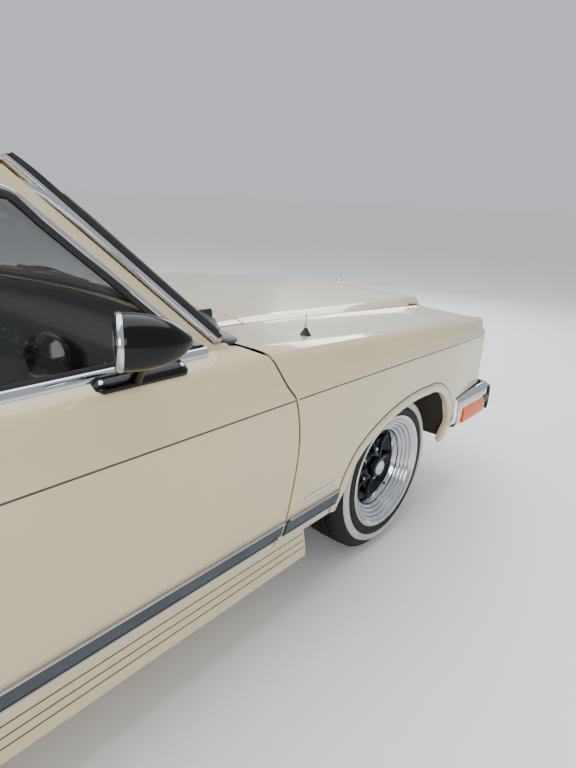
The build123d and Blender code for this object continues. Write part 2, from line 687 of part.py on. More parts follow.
# Floor, firewall, inner walls and rails
pan = block(-900, FIREWALL_X, -1, 688, FLOOR_Z, FLOOR_TOP_Z)
pan += block(-560, 700, -1, 90, FLOOR_Z, 372) + block(700, FIREWALL_X, -1, 150, FLOOR_Z, 470)
pan -= block(-570, 695, -1, 76, FLOOR_Z - 5, 358) + block(695, FIREWALL_X - 12, -1, 136, FLOOR_Z - 5, 456)
pan += block(FIREWALL_X - 12, FIREWALL_X, -1, 688, FLOOR_Z, 905)
pan -= block(FIREWALL_X - 20, FIREWALL_X + 10, -1, 136, FLOOR_Z - 5, 456)
pan += block(-912, -900, -1, WHEELHOUSE_OUT, FLOOR_Z, BOOT_FLOOR_Z)
pan -= block(-920, -550, -1, 60, FLOOR_Z - 5, 358)
pan += block(-2360, -900, -1, WHEELHOUSE_OUT, BOOT_FLOOR_Z - 12, BOOT_FLOOR_Z)
pan += block(-1620, -868, WHEELHOUSE_OUT - 2, WHEELHOUSE_OUT + 10, BOOT_FLOOR_Z - 12, 700)
pan += block(-1620, -868, WHEELHOUSE_OUT, 846, 690, 700) + block(-1620, -916, 840, 900, 690, 700)
pan += block(-880, -868, WHEELHOUSE_OUT, 846, FLOOR_Z + 96, 700) + block(-890, -868, 600, 688, FLOOR_Z, 340)
pan += block(FIREWALL_X - 4, 2300, RAIL_OUT[0], RAIL_OUT[1], RAIL_Z[0], RAIL_Z[1])
pan += block(700, FIREWALL_X, RAIL_OUT[0], RAIL_OUT[1], FLOOR_Z - 20, FLOOR_TOP_Z)
pan += block(FIREWALL_X - 12, FIREWALL_X + 90, RAIL_OUT[0], RAIL_OUT[1], FLOOR_Z - 20, RAIL_Z[1])
pan += block(FIREWALL_X - 4, 2204, APRON_OUT[0], APRON_OUT[1], RAIL_Z[1] - 8, 800)
pan += block(FIREWALL_X - 4, 2204, RAIL_OUT[0], APRON_OUT[1], RAIL_Z[1] - 8, RAIL_Z[1] + 2)
pan += block(2200, 2214, -1, 506, RAIL_Z[0], 800)
pan -= block(2190, 2220, -1, 330, 420, 770)
pan += block(2290, 2300, -1, 700, 330, 500) + block(-2372, -2358, -1, 700, 330, 500)
pan += block(2290, 2600, 380, 415, 382, 440) & bumper_core(True, BUMPER_T + 4 + SEAT_GAP, 300, 600)
pan += block(-2600, -2360, 380, 415, 400, 440) & bumper_core(False, BUMPER_T + 4 + SEAT_GAP, 300, 600)
fender_seat = half_hull(SKIN + SEAT_GAP)
for x in (1180, 1860, 2140):
    pan += block(x, x + 40, 494, 560, 780, 790)
    pan += block(x, x + 40, 548, 560, 780, 1000) & fender_seat
pan += block(-2300, -900, 480, 530, 372, BOOT_FLOOR_Z)
for x in (-640, 120, 820):
    pan += block(x, x + 120, 687, 692 - SEAT_GAP, FLOOR_Z, FLOOR_TOP_Z)
nose_bracket = HULL & block(2212, 2600, 466, 494, 650, 670)
pan += nose_bracket - end_slab(True, 12 + SEAT_GAP)
save(both(pan), "floor_pan")

# Engine, gearbox and shaft
drive = block(1180, 1900, -1, 250, 330, 770)
drive += rod((1180, 0, 360), (700, 0, 340), 62)
drive += block(1500, 1560, 249, RAIL_OUT[0] - SEAT_GAP, 350, 380)
drive += rod((700, 0, 325), (REAR_AXLE_X + 130, 0, 325), 32)
save(both(drive & block(-3000, 3000, -1, 1200, 0, 1500)), "drivetrain")

# Front suspension: cross member and two pairs of arms that hold the kingpin
cross = block(FRONT_AXLE_X - 60, FRONT_AXLE_X + 60, -1, 430, 210, RAIL_Z[0] - SEAT_GAP)
arms = cross
for z0, z1 in ((ARM_LOW_Z, ARM_LOW_Z + 14), (ARM_TOP_Z, ARM_TOP_Z + 14)):
    root = 360 if z0 == ARM_LOW_Z else APRON_OUT[1] + SEAT_GAP
    with BuildPart() as wishbone:
        with BuildSketch(Plane.XY.offset(z0)):
            with BuildLine():
                Polyline(
                    (FRONT_AXLE_X - 16, -KINGPIN_Y), (FRONT_AXLE_X + 16, -KINGPIN_Y),
                    (FRONT_AXLE_X + 80, -root), (FRONT_AXLE_X - 80, -root), close=True,
                )
            make_face()
        extrude(amount=z1 - z0)
        with Locations((FRONT_AXLE_X, -KINGPIN_Y, (z0 + z1) / 2)):
            Cylinder(22, z1 - z0)
            Cylinder(BALL_R + SEAT_GAP, 40, mode=Mode.SUBTRACT)
    arms = arms + wishbone.part
save(both(arms), "front_suspension")

# Rear axle on two leaf springs
axle = rod((REAR_AXLE_X, 1, WHEEL_Z), (REAR_AXLE_X, -REAR_WHEEL_Y + 40, WHEEL_Z), 36)
axle += rod((REAR_AXLE_X, -REAR_WHEEL_Y + 60, WHEEL_Z), (REAR_AXLE_X, -REAR_WHEEL_Y - 40, WHEEL_Z), AXLE_STUB_R)
axle += rod((REAR_AXLE_X, -REAR_WHEEL_Y + 60, WHEEL_Z), (REAR_AXLE_X, -REAR_WHEEL_Y + 40, WHEEL_Z), AXLE_STUB_R)
axle += rod((REAR_AXLE_X - 88, 0, WHEEL_Z), (REAR_AXLE_X + 100, 0, WHEEL_Z), 86) & block(-3000, 3000, -1, 1200, 0, 1500)
axle += block(REAR_AXLE_X - 620, REAR_AXLE_X + 300, 480, 530, WHEEL_Z - 58, WHEEL_Z - 36)
axle += block(REAR_AXLE_X - 50, REAR_AXLE_X + 50, 480, 530, WHEEL_Z - 60, WHEEL_Z)
axle += block(REAR_AXLE_X + 280, REAR_AXLE_X + 300, 480, 530, WHEEL_Z - 58, 371.7)
axle += block(REAR_AXLE_X - 620, REAR_AXLE_X - 600, 480, 530, WHEEL_Z - 58, 371.7)
save(both(axle), "rear_axle")

# Exhaust and tank
pipe = rod((1240, -300, 292), (1060, -300, 186), 22) + rod((1060, -300, 186), (-300, -300, 190), 22)
pipe += block(-870, -250, 200, 400, 160, 226)
pipe += rod((-860, -300, 200), (-1320, -300, 240), 20) + rod((-1320, -300, 240), (-1700, -410, 270), 20) + rod((-1700, -410, 270), (-2360, -420, 290), 20)
pipe += block(-640, -600, 270, 330, 220, FLOOR_Z - SEAT_GAP)
save(pipe, "exhaust")
with BuildPart() as tank:
    with Locations((-2000, 0, BOOT_FLOOR_Z - 12 - SEAT_GAP - 65)):
        Box(420, 700, 130)
save(tank.part, "fuel_tank")

# Wheels, tyres and knuckles
RIM = [(-79, 172), (-79, 183.7), (79, 183.7), (79, 172), (34, 168), (26, 80), (60, 66), (60, 16.4), (-20, 16.4)]
RIM += [(-20, 60), (12, 80), (20, 168), (-60, 172)]
TYRE = [(-100, 206), (-110, 238), (-106, 268), (-94, 300), (-72, TYRE_R), (72, TYRE_R), (94, 300), (106, 268)]
TYRE += [(110, 238), (100, 206), (82, 184), (-82, 184)]


def turned(profile, axle_x, out, label):
    """A ring turned about the wheel's own axle from an (outward offset, radius) profile."""
    with BuildPart() as ring:
        with BuildSketch(Plane(origin=(axle_x, -out, WHEEL_Z), x_dir=(0, -1, 0), z_dir=(-1, 0, 0))):
            with BuildLine():
                Polyline(*profile, close=True)
            make_face()
        revolve(axis=Axis((axle_x, -out, WHEEL_Z), (0, 1, 0)))
    save(ring.part, f"{label}_right")
    save(left_of(ring.part), f"{label}_left")


turned(RIM, FRONT_AXLE_X, FRONT_WHEEL_Y, "wheel_front")
turned(TYRE, FRONT_AXLE_X, FRONT_WHEEL_Y, "tyre_front")
turned(RIM, REAR_AXLE_X, REAR_WHEEL_Y, "wheel_rear")
turned(TYRE, REAR_AXLE_X, REAR_WHEEL_Y, "tyre_rear")
knuckle = rod((FRONT_AXLE_X, -KINGPIN_Y, ARM_LOW_Z + 16), (FRONT_AXLE_X, -KINGPIN_Y, ARM_TOP_Z - 2), KINGPIN_R)
knuckle += rod((FRONT_AXLE_X, -KINGPIN_Y, ARM_LOW_Z - 2), (FRONT_AXLE_X, -KINGPIN_Y, ARM_TOP_Z + 16), BALL_R)
knuckle += rod((FRONT_AXLE_X, -KINGPIN_Y, WHEEL_Z), (FRONT_AXLE_X, -FRONT_WHEEL_Y - 40, WHEEL_Z), AXLE_STUB_R)
save(knuckle, "knuckle_right")
save(left_of(knuckle), "knuckle_left")

# Lamps and grille
lens = (end_slab(True, 24) & block(2200, 2600, HEADLAMP_OUT[0], HEADLAMP_OUT[1], HEADLAMP_Z[0], HEADLAMP_Z[1]))
save(Compound(children=[lens, left_of(lens)]), "head_lamps")
lens = (end_slab(True, 24) & block(2200, 2600, HEADLAMP_OUT[0], HEADLAMP_OUT[1], TURN_Z[0], TURN_Z[1]))
save(Compound(children=[lens, left_of(lens)]), "turn_lamps")
lens = (end_slab(False, 24) & block(-2600, -2200, TAIL_LAMP_OUT[0], TAIL_LAMP_OUT[1], TAIL_LAMP_Z[0], TAIL_LAMP_Z[1]))
save(Compound(children=[lens, left_of(lens)]), "tail_lamps")
with BuildPart() as grille:
    zc = (GRILLE_Z[0] + GRILLE_Z[1]) / 2
    high = GRILLE_Z[1] - GRILLE_Z[0]
    with Locations((NOSE_X - 16, 0, zc)):
        Box(40, 2 * GRILLE_HALF - 1, high - 1)
    with Locations((NOSE_X - 10, 0, zc)):
        Box(60, 2 * GRILLE_HALF - 50, high - 50, mode=Mode.SUBTRACT)
    with Locations((NOSE_X - 20, 0, zc)):
        with Locations(*[(0, y * 43, 0) for y in range(-9, 10)]):
            Box(16, 8, high - 40)
        Box(8, 2 * GRILLE_HALF - 40, 8)
save(grille.part, "grille")

# Seats, dashboard and steering wheel
CUSHION = [(-330, 260), (250, 260), (260, 420), (-150, 400), (-300, 960), (-420, 960), (-400, 800)]


def seat(profile, half, dx, label):
    """A full-width seat drawn as one side profile."""
    with BuildPart() as bench:
        with BuildSketch(Plane.XZ.offset(-half)):
            with BuildLine():
                Polyline(*[(x + dx, z) for x, z in profile], close=True)
            make_face()
        extrude(amount=2 * half)
    return bench.part


front_seat = seat(CUSHION, 640, 0, "front")
front_seat = front_seat - block(-1000, 1000, -96, 96, 200, 1200)
for out in (150, 560, -180, -590):
    front_seat += block(-280, 200, out, out + 30, FLOOR_TOP_Z + SEAT_GAP, 262)
save(front_seat, "front_seats")
REAR_PROFILE = [(-880, 378), (-460, 378), (-450, 480), (-820, 455), (-950, 900), (-1050, 900), (-1000, 700), (-884, 460)]
rear_seat = seat(REAR_PROFILE, 590, 0, "rear")
for out in (300, -330):
    rear_seat += block(-700, -660, out, out + 30, FLOOR_TOP_Z + SEAT_GAP, 380)
save(rear_seat, "rear_seat")
with BuildPart() as dash:
    with BuildSketch(Plane.XZ.offset(-722)):
        with BuildLine():
            Polyline((990, 760), (700, 700), (640, 720), (610, 850), (660, 915), (840, 912), (990, 860), close=True)
        make_face()
    extrude(amount=1444)
dash_part = dash.part + block(770, 810, -(PILLAR_Y - 60 - SEAT_GAP), PILLAR_Y - 60 - SEAT_GAP, 800, 840)
rake = Vector(1, 0, 0).rotate(Axis.Y, COLUMN_RAKE)
hub = Vector(STEERING_X, STEERING_Y, STEERING_Z)
wheel_plane = Plane(origin=hub, z_dir=rake, x_dir=(0, 1, 0))
with BuildPart() as helm:
    with BuildSketch(Plane(origin=hub, x_dir=(0, 1, 0), z_dir=wheel_plane.y_dir)):
        with Locations((STEERING_R, 0)):
            Circle(STEERING_GRIP_R)
    revolve(axis=Axis(hub, rake))
helm_part = helm.part
helm_part += rod(tuple(hub - rake * 10), tuple(hub + rake * 60), 34)
helm_part += rod(tuple(hub), tuple(hub + rake * 420), 11)
spoke = rod(tuple(hub - Vector(0, STEERING_R - 8, 0)), tuple(hub + Vector(0, STEERING_R - 8, 0)), 9)
helm_part += spoke
bore = rod(tuple(hub + rake * 62), tuple(hub + rake * 520), 11.5)
column = rod(tuple(hub + rake * 75), tuple(hub + rake * 300), 26)
dash_part = dash_part + column - bore
save(dash_part, "dashboard")
save(helm_part, "steering_wheel")

# Mirrors on the front doors: a bullet turned about its own slightly skewed axis, a stem and a foot plate
mirror_rear = Vector(355, -985, 1058)
mirror_way = Vector(208, 45, -27).normalized()
with BuildPart() as housing:
    with BuildSketch(Plane(origin=mirror_rear, x_dir=mirror_way, z_dir=Vector(0, 1, 0).cross(mirror_way).normalized())):
        with BuildLine():
            Polyline((0, 0), (0, 51), (6, 55), (14, 55))
            ThreePointArc((14, 55), (130, 44), (200, 12))
            Line((200, 12), (208, 4))
            Line((208, 4), (208, 0))
            Line((208, 0), (0, 0))
        make_face()
    revolve(axis=Axis(mirror_rear, mirror_way))
with BuildPart() as foot:
    with BuildSketch(Plane(origin=(346, 0, 0), x_dir=(0, -1, 0), z_dir=(-1, 0, 0))):
        with BuildLine():
            Polyline((832, 940), (832, 965), (846, 962), (874, 943), (874, 925), close=True)
        make_face()
    extrude(amount=-239)
mirror = foot.part + rod((452, -852, 940), (446, -968, 1042), 11) - half_hull(-SEAT_GAP) - greenhouse(-SEAT_GAP)
mirror = mirror + housing.part
save(mirror, "mirror_right")
save(left_of(mirror), "mirror_left")

# Sill boards, hood ornament and wipers
with BuildPart() as board:
    with BuildSketch(Plane(origin=(-860, 0, 0), x_dir=(0, -1, 0), z_dir=(-1, 0, 0))):
        with BuildLine():
            Polyline((890.3, 317), (893, 318), (906, 243), (906, 219), (890.3, 219), close=True)
        make_face()
    extrude(amount=-1901)
save(Compound(children=[board.part, left_of(board.part)]), "sill_boards")
with BuildPart() as ornament:
    with Locations((2395, 0, 891.4)):
        Cylinder(16, 10)
    with Locations((2395, 0, 916.4)):
        Box(10, 8, 44)
save(ornament.part, "hood_ornament")
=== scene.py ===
"""Visual model of a late-1970s full-size four-door sedan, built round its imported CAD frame.

Everything is in metres in the frame of the CAD: +X to the front of the car, +Y to its left, +Z up.
"""
import logging
import math
from collections.abc import Callable
from dataclasses import dataclass, field
from enum import Enum

import bmesh
import bpy
from mathutils import Matrix, Vector
from mathutils.bvhtree import BVHTree


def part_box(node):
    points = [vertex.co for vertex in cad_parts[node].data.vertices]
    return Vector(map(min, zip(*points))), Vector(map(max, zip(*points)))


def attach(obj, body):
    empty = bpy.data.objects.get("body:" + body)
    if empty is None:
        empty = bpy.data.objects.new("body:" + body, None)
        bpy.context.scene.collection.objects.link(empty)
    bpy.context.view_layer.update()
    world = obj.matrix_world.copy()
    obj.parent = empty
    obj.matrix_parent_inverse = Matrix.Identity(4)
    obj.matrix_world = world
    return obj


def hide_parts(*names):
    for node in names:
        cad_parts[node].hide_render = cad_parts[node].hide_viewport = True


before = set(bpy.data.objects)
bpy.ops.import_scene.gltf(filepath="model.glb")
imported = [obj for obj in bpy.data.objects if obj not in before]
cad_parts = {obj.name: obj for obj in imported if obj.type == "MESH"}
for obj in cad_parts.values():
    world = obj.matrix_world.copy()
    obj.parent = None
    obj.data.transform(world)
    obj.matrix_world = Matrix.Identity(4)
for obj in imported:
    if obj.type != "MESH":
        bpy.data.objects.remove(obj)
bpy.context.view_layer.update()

LOG = logging.getLogger("sedan")
RIGHT, LEFT = -1.0, 1.0


# ---------------------------------------------------------------- colours and finishes
def linear(hex_colour: str) -> tuple[float, float, float, float]:
    """Turn an sRGB hex colour into linear RGBA.

    Args:
        hex_colour: Six hex digits, with or without a hash.
    Returns:
        Linear red, green, blue and an alpha of 1.
    """
    digits = hex_colour.lstrip("#")
    parts = [int(digits[i:i + 2], 16) / 255.0 for i in (0, 2, 4)]
    lin = [p / 12.92 if p <= 0.04045 else ((p + 0.055) / 1.055) ** 2.4 for p in parts]
    return (lin[0], lin[1], lin[2], 1.0)


class Pattern(Enum):
    """What gives a finish its fine relief."""

    PEEL = "peel"
    SMUDGE = "smudge"
    BRUSHED = "brushed"
    GRAIN = "grain"
    WEAVE = "weave"
    RIBS = "ribs"
    CAST = "cast"
    SMOOTH = "smooth"


@dataclass(frozen=True)
class Finish:
    """One surface finish, from what the real material is.

    Sizes are in millimetres.
    """

    name: str
    pattern: Pattern
    base: str
    second: str
    roughness: float = 0.4
    rough_span: float = 0.1
    metallic: float = 0.0
    ior: float = 1.5
    coat: float = 0.0
    transmission: float = 0.0
    scale_mm: float = 2.0
    relief_mm: float = 0.05
    patch_mm: float = 300.0
    # Colour of dirt low down, and of the painted shade in the hollows of grain, weave and cast relief.
    dirt_and_hollow_shade: str = "4a4238"
    dirt_amount: float = 0.0
    dirt_top_m: float = 0.5
    glow: float = 0.0
    sheen: float = 0.0
    alpha: float = 1.0
    specular: float = 0.5


class NodeTree:
    """A small wrapper that adds nodes to one material and links them."""

    def __init__(self, material: bpy.types.Material) -> None:
        """Clear the tree of a material, ready for new nodes.

        Args:
            material: Material whose tree is cleared and refilled.
        """
        material.use_nodes = True
        self.tree = material.node_tree
        self.tree.nodes.clear()
        self.column = 0

    def add(self, kind: str, inputs: dict | None = None, **settings: object) -> bpy.types.Node:
        """Add one node.

        Args:
            kind: Blender's node type name.
            inputs: Socket name to a constant or to another node's output.
            settings: Properties of the node itself.
        Returns:
            The new node.
        """
        node = self.tree.nodes.new(kind)
        self.column += 1
        node.location = (self.column * 60, -(self.column % 5) * 120)
        for key, value in settings.items():
            setattr(node, key, value)
        for key, value in (inputs or {}).items():
            socket = node.inputs[key]
            if isinstance(value, bpy.types.NodeSocket):
                self.tree.links.new(value, socket)
            else:
                socket.default_value = value
        return node

    def noise(self, vector: bpy.types.NodeSocket, scale: float, detail: float = 3.0,
              rough: float = 0.55) -> bpy.types.NodeSocket:
        """Add noise of one scale.

        Args:
            vector: Coordinates.
            scale: Cycles a metre.
            detail: Number of octaves.
            rough: Weight of the finer octaves.
        Returns:
            Its value.
        """
        node = self.add("ShaderNodeTexNoise", {"Vector": vector, "Scale": scale, "Detail": detail, "Roughness": rough})
        return node.outputs["Fac"]

    def remap(self, value: bpy.types.NodeSocket, low: float, high: float, to_low: float,
              to_high: float) -> bpy.types.NodeSocket:
        """Map one range onto another, clamped.

        Args:
            value: Signal.
            low: Least input.
            high: Greatest input.
            to_low: Output at the least.
            to_high: Output at the greatest.
        Returns:
            The mapped value.
        """
        node = self.add("ShaderNodeMapRange", {"Value": value, "From Min": low, "From Max": high,
                                               "To Min": to_low, "To Max": to_high})
        return node.outputs["Result"]

    def mix(self, factor: bpy.types.NodeSocket | float, a: bpy.types.NodeSocket | tuple,
            b: bpy.types.NodeSocket | tuple) -> bpy.types.NodeSocket:
        """Blend two colours.

        Args:
            factor: Share of the second.
            a: First colour.
            b: Second colour.
        Returns:
            The blend.
        """
        node = self.add("ShaderNodeMix", data_type="RGBA")
        self.tree.links.new(factor, node.inputs[0]) if isinstance(factor, bpy.types.NodeSocket) \
            else setattr(node.inputs[0], "default_value", factor)
        for socket, value in ((node.inputs[6], a), (node.inputs[7], b)):
            if isinstance(value, bpy.types.NodeSocket):
                self.tree.links.new(value, socket)
            else:
                socket.default_value = value
        return node.outputs[2]

    def math(self, operation: str, a: bpy.types.NodeSocket | float,
             b: bpy.types.NodeSocket | float = 0.0) -> bpy.types.NodeSocket:
        """Add one arithmetic node.

        Args:
            operation: Operation name.
            a: First value.
            b: Second value.
        Returns:
            Its value.
        """
        node = self.add("ShaderNodeMath", operation=operation)
        for socket, value in ((node.inputs[0], a), (node.inputs[1], b)):
            if isinstance(value, bpy.types.NodeSocket):
                self.tree.links.new(value, socket)
            else:
                socket.default_value = value
        return node.outputs[0]


class Finishes:
    """Builds each finish once and hands out its material."""

    def __init__(self) -> None:
        """Start with no materials made."""
        self._made: dict[str, bpy.types.Material] = {}

    def get(self, finish: Finish) -> bpy.types.Material:
        """Give the material of one finish, built at its first use.

        Args:
            finish: Finish to show.
        Returns:
            The material.
        """
        if finish.name not in self._made:
            self._made[finish.name] = self._build(finish)
        return self._made[finish.name]

    def _height(self, kit: NodeTree, finish: Finish, coords: bpy.types.NodeSocket) -> bpy.types.NodeSocket:
        """Give the relief signal of the pattern, from 0 to 1.

        Args:
            kit: Tree being built.
            finish: Finish to show.
            coords: Object coordinates.
        Returns:
            The signal.
        """
        per_metre = 1000.0 / finish.scale_mm
        if finish.pattern is Pattern.GRAIN:
            cell = kit.add("ShaderNodeTexVoronoi", {"Vector": coords, "Scale": per_metre}, feature="DISTANCE_TO_EDGE")
            return kit.remap(cell.outputs["Distance"], 0.0, 0.35, 0.0, 1.0)
        if finish.pattern is Pattern.WEAVE:
            wave_a = kit.add("ShaderNodeTexWave", {"Vector": coords, "Scale": per_metre / 6.3, "Distortion": 0.4},
                             bands_direction="X")
            wave_b = kit.add("ShaderNodeTexWave", {"Vector": coords, "Scale": per_metre / 6.3, "Distortion": 0.4},
                             bands_direction="Y")
            return kit.math("MULTIPLY", wave_a.outputs["Fac"], wave_b.outputs["Fac"])
        if finish.pattern is Pattern.RIBS:
            wave = kit.add("ShaderNodeTexWave", {"Vector": coords, "Scale": per_metre / 6.3}, bands_direction="Y",
                           wave_profile="SIN")
            return wave.outputs["Fac"]
        if finish.pattern is Pattern.BRUSHED:
            mapped = kit.add("ShaderNodeMapping", {"Vector": coords, "Scale": (0.04, 1.0, 1.0)})
            return kit.noise(mapped.outputs["Vector"], per_metre, 4.0)
        if finish.pattern is Pattern.CAST:
            return kit.noise(coords, per_metre, 6.0, 0.7)
        return kit.noise(coords, per_metre, 2.0)

    def _build(self, finish: Finish) -> bpy.types.Material:
        """Build the node tree of one finish.

        Args:
            finish: Finish to show.
        Returns:
            The material.
        """
        material = bpy.data.materials.new(finish.name)
        kit = NodeTree(material)
        coords = kit.add("ShaderNodeTexCoord").outputs["Object"]
        patch = kit.noise(coords, 1000.0 / finish.patch_mm, 4.0, 0.6)
        colour = kit.mix(kit.remap(patch, 0.35, 0.65, 0.0, 1.0), linear(finish.base), linear(finish.second))
        height = self._height(kit, finish, coords)
        rough = kit.remap(patch, 0.3, 0.7, finish.roughness - finish.rough_span / 2,
                          finish.roughness + finish.rough_span / 2)
        # Hollows of grain, weave and cast relief are darkened toward the dark colour of the finish: painted shade in
        # the hollows, and real rust and heat stain on the iron and steel.
        if finish.pattern in (Pattern.WEAVE, Pattern.GRAIN, Pattern.CAST):
            colour = kit.mix(kit.remap(height, 0.0, 1.0, 0.45, 0.0), colour, linear(finish.dirt_and_hollow_shade))
        if finish.dirt_amount > 0.0:
            z = kit.add("ShaderNodeSeparateXYZ", {"Vector": coords}).outputs["Z"]
            low = kit.remap(z, 0.12, finish.dirt_top_m, 1.0, 0.0)
            speck = kit.remap(kit.noise(coords, 38.0, 8.0, 0.7), 0.42, 0.62, 0.15, 1.0)
            dirt_and_hollow_shade = kit.math("MULTIPLY", kit.math("MULTIPLY", low, speck), finish.dirt_amount)
            colour = kit.mix(dirt_and_hollow_shade, colour, linear(finish.dirt_and_hollow_shade))
            rough = kit.math("MAXIMUM", rough, kit.math("MULTIPLY", dirt_and_hollow_shade, 0.85))
        relief = finish.relief_mm / 1000.0
        bump = kit.add("ShaderNodeBump", {"Height": height, "Strength": 0.6, "Distance": relief})
        shader = kit.add("ShaderNodeBsdfPrincipled", {
            "Base Color": colour, "Roughness": rough, "Metallic": finish.metallic, "IOR": finish.ior,
            "Coat Weight": finish.coat, "Coat Roughness": 0.03, "Transmission Weight": finish.transmission,
            "Normal": bump.outputs["Normal"], "Sheen Weight": finish.sheen, "Alpha": finish.alpha,
            "Specular IOR Level": finish.specular,
        })
        if finish.glow > 0.0:
            kit.tree.links.new(colour, shader.inputs["Emission Color"])
            shader.inputs["Emission Strength"].default_value = finish.glow
        kit.add("ShaderNodeOutputMaterial", {"Surface": shader.outputs["BSDF"]})
        return material


# Solid enamel under a clear coat: smooth cream, a faint peel and a sharp highlight.
PAINT = Finish("cream_paint", Pattern.PEEL, "d3c29c", "cfbd95", 0.24, 0.06, coat=1.0, scale_mm=3.5, relief_mm=0.003,
               patch_mm=700, dirt_and_hollow_shade="6b5c43", dirt_amount=0.22, dirt_top_m=0.50)
# Chrome plate on pressed steel: bright, with a thin smudge and dull road film low down.
CHROME = Finish("bright_chrome", Pattern.SMUDGE, "c9ccd0", "bfc2c6", 0.08, 0.08, metallic=1.0, scale_mm=9,
                relief_mm=0.004, patch_mm=60, dirt_and_hollow_shade="58534a", dirt_amount=0.25, dirt_top_m=0.5)
# Chrome plate on the wheel disc, darkened to nearly black as painted shade and painted dark reflection, with thin
# bright edges.
DARK_CHROME = Finish("smoked_chrome", Pattern.SMUDGE, "2a2d31", "222529", 0.14, 0.08, metallic=1.0, scale_mm=9,
                     relief_mm=0.004, patch_mm=80)
# Polished stainless strip: bright, with fine long brush marks.
POLISHED = Finish("polished_trim", Pattern.BRUSHED, "b9bcc2", "aeb2b8", 0.2, 0.1, metallic=1.0, scale_mm=1.2,
                  relief_mm=0.006, patch_mm=90)
# Moulded vinyl insert: matt slate blue with a fine leather grain.
SLATE = Finish("slate_vinyl", Pattern.GRAIN, "2b3b45", "25343d", 0.42, 0.12, scale_mm=1.4, relief_mm=0.05,
               patch_mm=120, dirt_and_hollow_shade="2a2f33")
# Extruded seal rubber: dull black, with just enough grain to break the highlight.
RUBBER = Finish("seal_rubber", Pattern.GRAIN, "141414", "1b1b1a", 0.6, 0.15, ior=1.52, scale_mm=1.2, relief_mm=0.04,
                patch_mm=80, dirt_and_hollow_shade="0b0b0b")
# Cured tyre rubber: dark and dull, with a little dust near the ground.
TYRE = Finish("tyre_rubber", Pattern.GRAIN, "0f0f10", "161616", 0.62, 0.14, ior=1.52, scale_mm=1.6, relief_mm=0.06,
              patch_mm=70, specular=0.25, dirt_and_hollow_shade="1b1a18", dirt_amount=0.3, dirt_top_m=0.3)
# White rubber let into the sidewall: chalky, slightly soiled.
WHITEWALL = Finish("white_ring", Pattern.GRAIN, "d4d2cf", "c8c5c1", 0.55, 0.12, ior=1.52, scale_mm=1.8, relief_mm=0.04,
                   patch_mm=60, dirt_and_hollow_shade="8a857b", dirt_amount=0.4, dirt_top_m=0.5)
# Tinted safety glass: half see-through and dark, with a sharp surface gloss; its dark colour is partly tint and partly
# painted shade of the dim cabin behind it.
GLASS = Finish("tinted_glass", Pattern.SMOOTH, "141a19", "10161a", 0.015, 0.01, ior=1.9, alpha=0.30,
               patch_mm=400, specular=0.5, scale_mm=60, relief_mm=0.001)
# Black enamel: deep black with a clean highlight.
BLACK_GLOSS = Finish("black_gloss", Pattern.PEEL, "030304", "050506", 0.14, 0.06, coat=0.0, specular=0.28, scale_mm=2.5,
                     relief_mm=0.006, patch_mm=60)
# Moulded black plastic: low sheen with a fine grain.
BLACK_SATIN = Finish("black_satin", Pattern.GRAIN, "161617", "1d1d1d", 0.45, 0.1, scale_mm=1.0, relief_mm=0.03,
                     patch_mm=60, dirt_and_hollow_shade="0c0c0c")
# Sprayed underseal: rough, dark and dusty.
UNDERBODY = Finish("underbody_coat", Pattern.CAST, "232120", "2c2825", 0.8, 0.12, scale_mm=5, relief_mm=0.3,
                   patch_mm=150, dirt_and_hollow_shade="4a3f33", dirt_amount=0.5, dirt_top_m=0.6)
# Cast iron and forgings: dark with patches of brown rust.
IRON = Finish("rusty_iron", Pattern.CAST, "2e2825", "4b3325", 0.75, 0.2, metallic=0.6, scale_mm=3, relief_mm=0.25,
              patch_mm=50, dirt_and_hollow_shade="5b3a24")
# Aluminised steel pipe: grey metal stained by heat.
STEEL = Finish("exhaust_steel", Pattern.CAST, "6b665f", "59483a", 0.5, 0.2, metallic=0.9, scale_mm=4, relief_mm=0.1,
               patch_mm=80, dirt_and_hollow_shade="6a4a30")
# Pressed seat vinyl: brown with a soft sheen and a visible leather grain.
VINYL = Finish("seat_vinyl", Pattern.GRAIN, "4a3426", "523b2b", 0.48, 0.1, scale_mm=1.8, relief_mm=0.08, patch_mm=180,
               dirt_and_hollow_shade="2e2018", sheen=0.1)
# Woven seat cloth: matt, threads drawn coarser than life so that they show.
CLOTH = Finish("seat_cloth", Pattern.WEAVE, "5a4230", "664b37", 0.85, 0.08, scale_mm=1.6, relief_mm=0.25,
               patch_mm=140, dirt_and_hollow_shade="33241a", sheen=0.35)
# Looped carpet: deep and matt, tufts drawn coarser than life so that they show.
CARPET = Finish("floor_carpet", Pattern.CAST, "3a2a20", "44321f", 0.95, 0.04, scale_mm=2.2, relief_mm=0.8,
                patch_mm=90, dirt_and_hollow_shade="20170f", sheen=0.4)
# Knitted head lining: pale and matt.
LINER = Finish("roof_lining", Pattern.WEAVE, "b7ab92", "aea38b", 0.9, 0.05, scale_mm=2.4, relief_mm=0.1, patch_mm=200,
               dirt_and_hollow_shade="857b66")
# Foamed dash vinyl: very dark brown with a low sheen.
DASH = Finish("dash_vinyl", Pattern.GRAIN, "241a14", "2b2019", 0.5, 0.12, scale_mm=1.5, relief_mm=0.07, patch_mm=120,
              dirt_and_hollow_shade="150f0b")
# Printed wood film under lacquer: brown streaks with a soft gloss.
WOOD = Finish("wood_film", Pattern.BRUSHED, "5a3418", "6d4423", 0.30, 0.10, coat=0.5, scale_mm=3.0, relief_mm=0.02,
              patch_mm=60)
# Pressed clear lens: bright ribs that break up what lies behind.
CLEAR_LENS = Finish("clear_lens", Pattern.RIBS, "dfe3e6", "d6dade", 0.05, 0.03, ior=1.5, transmission=0.6,
                    scale_mm=12, relief_mm=0.5, patch_mm=80)
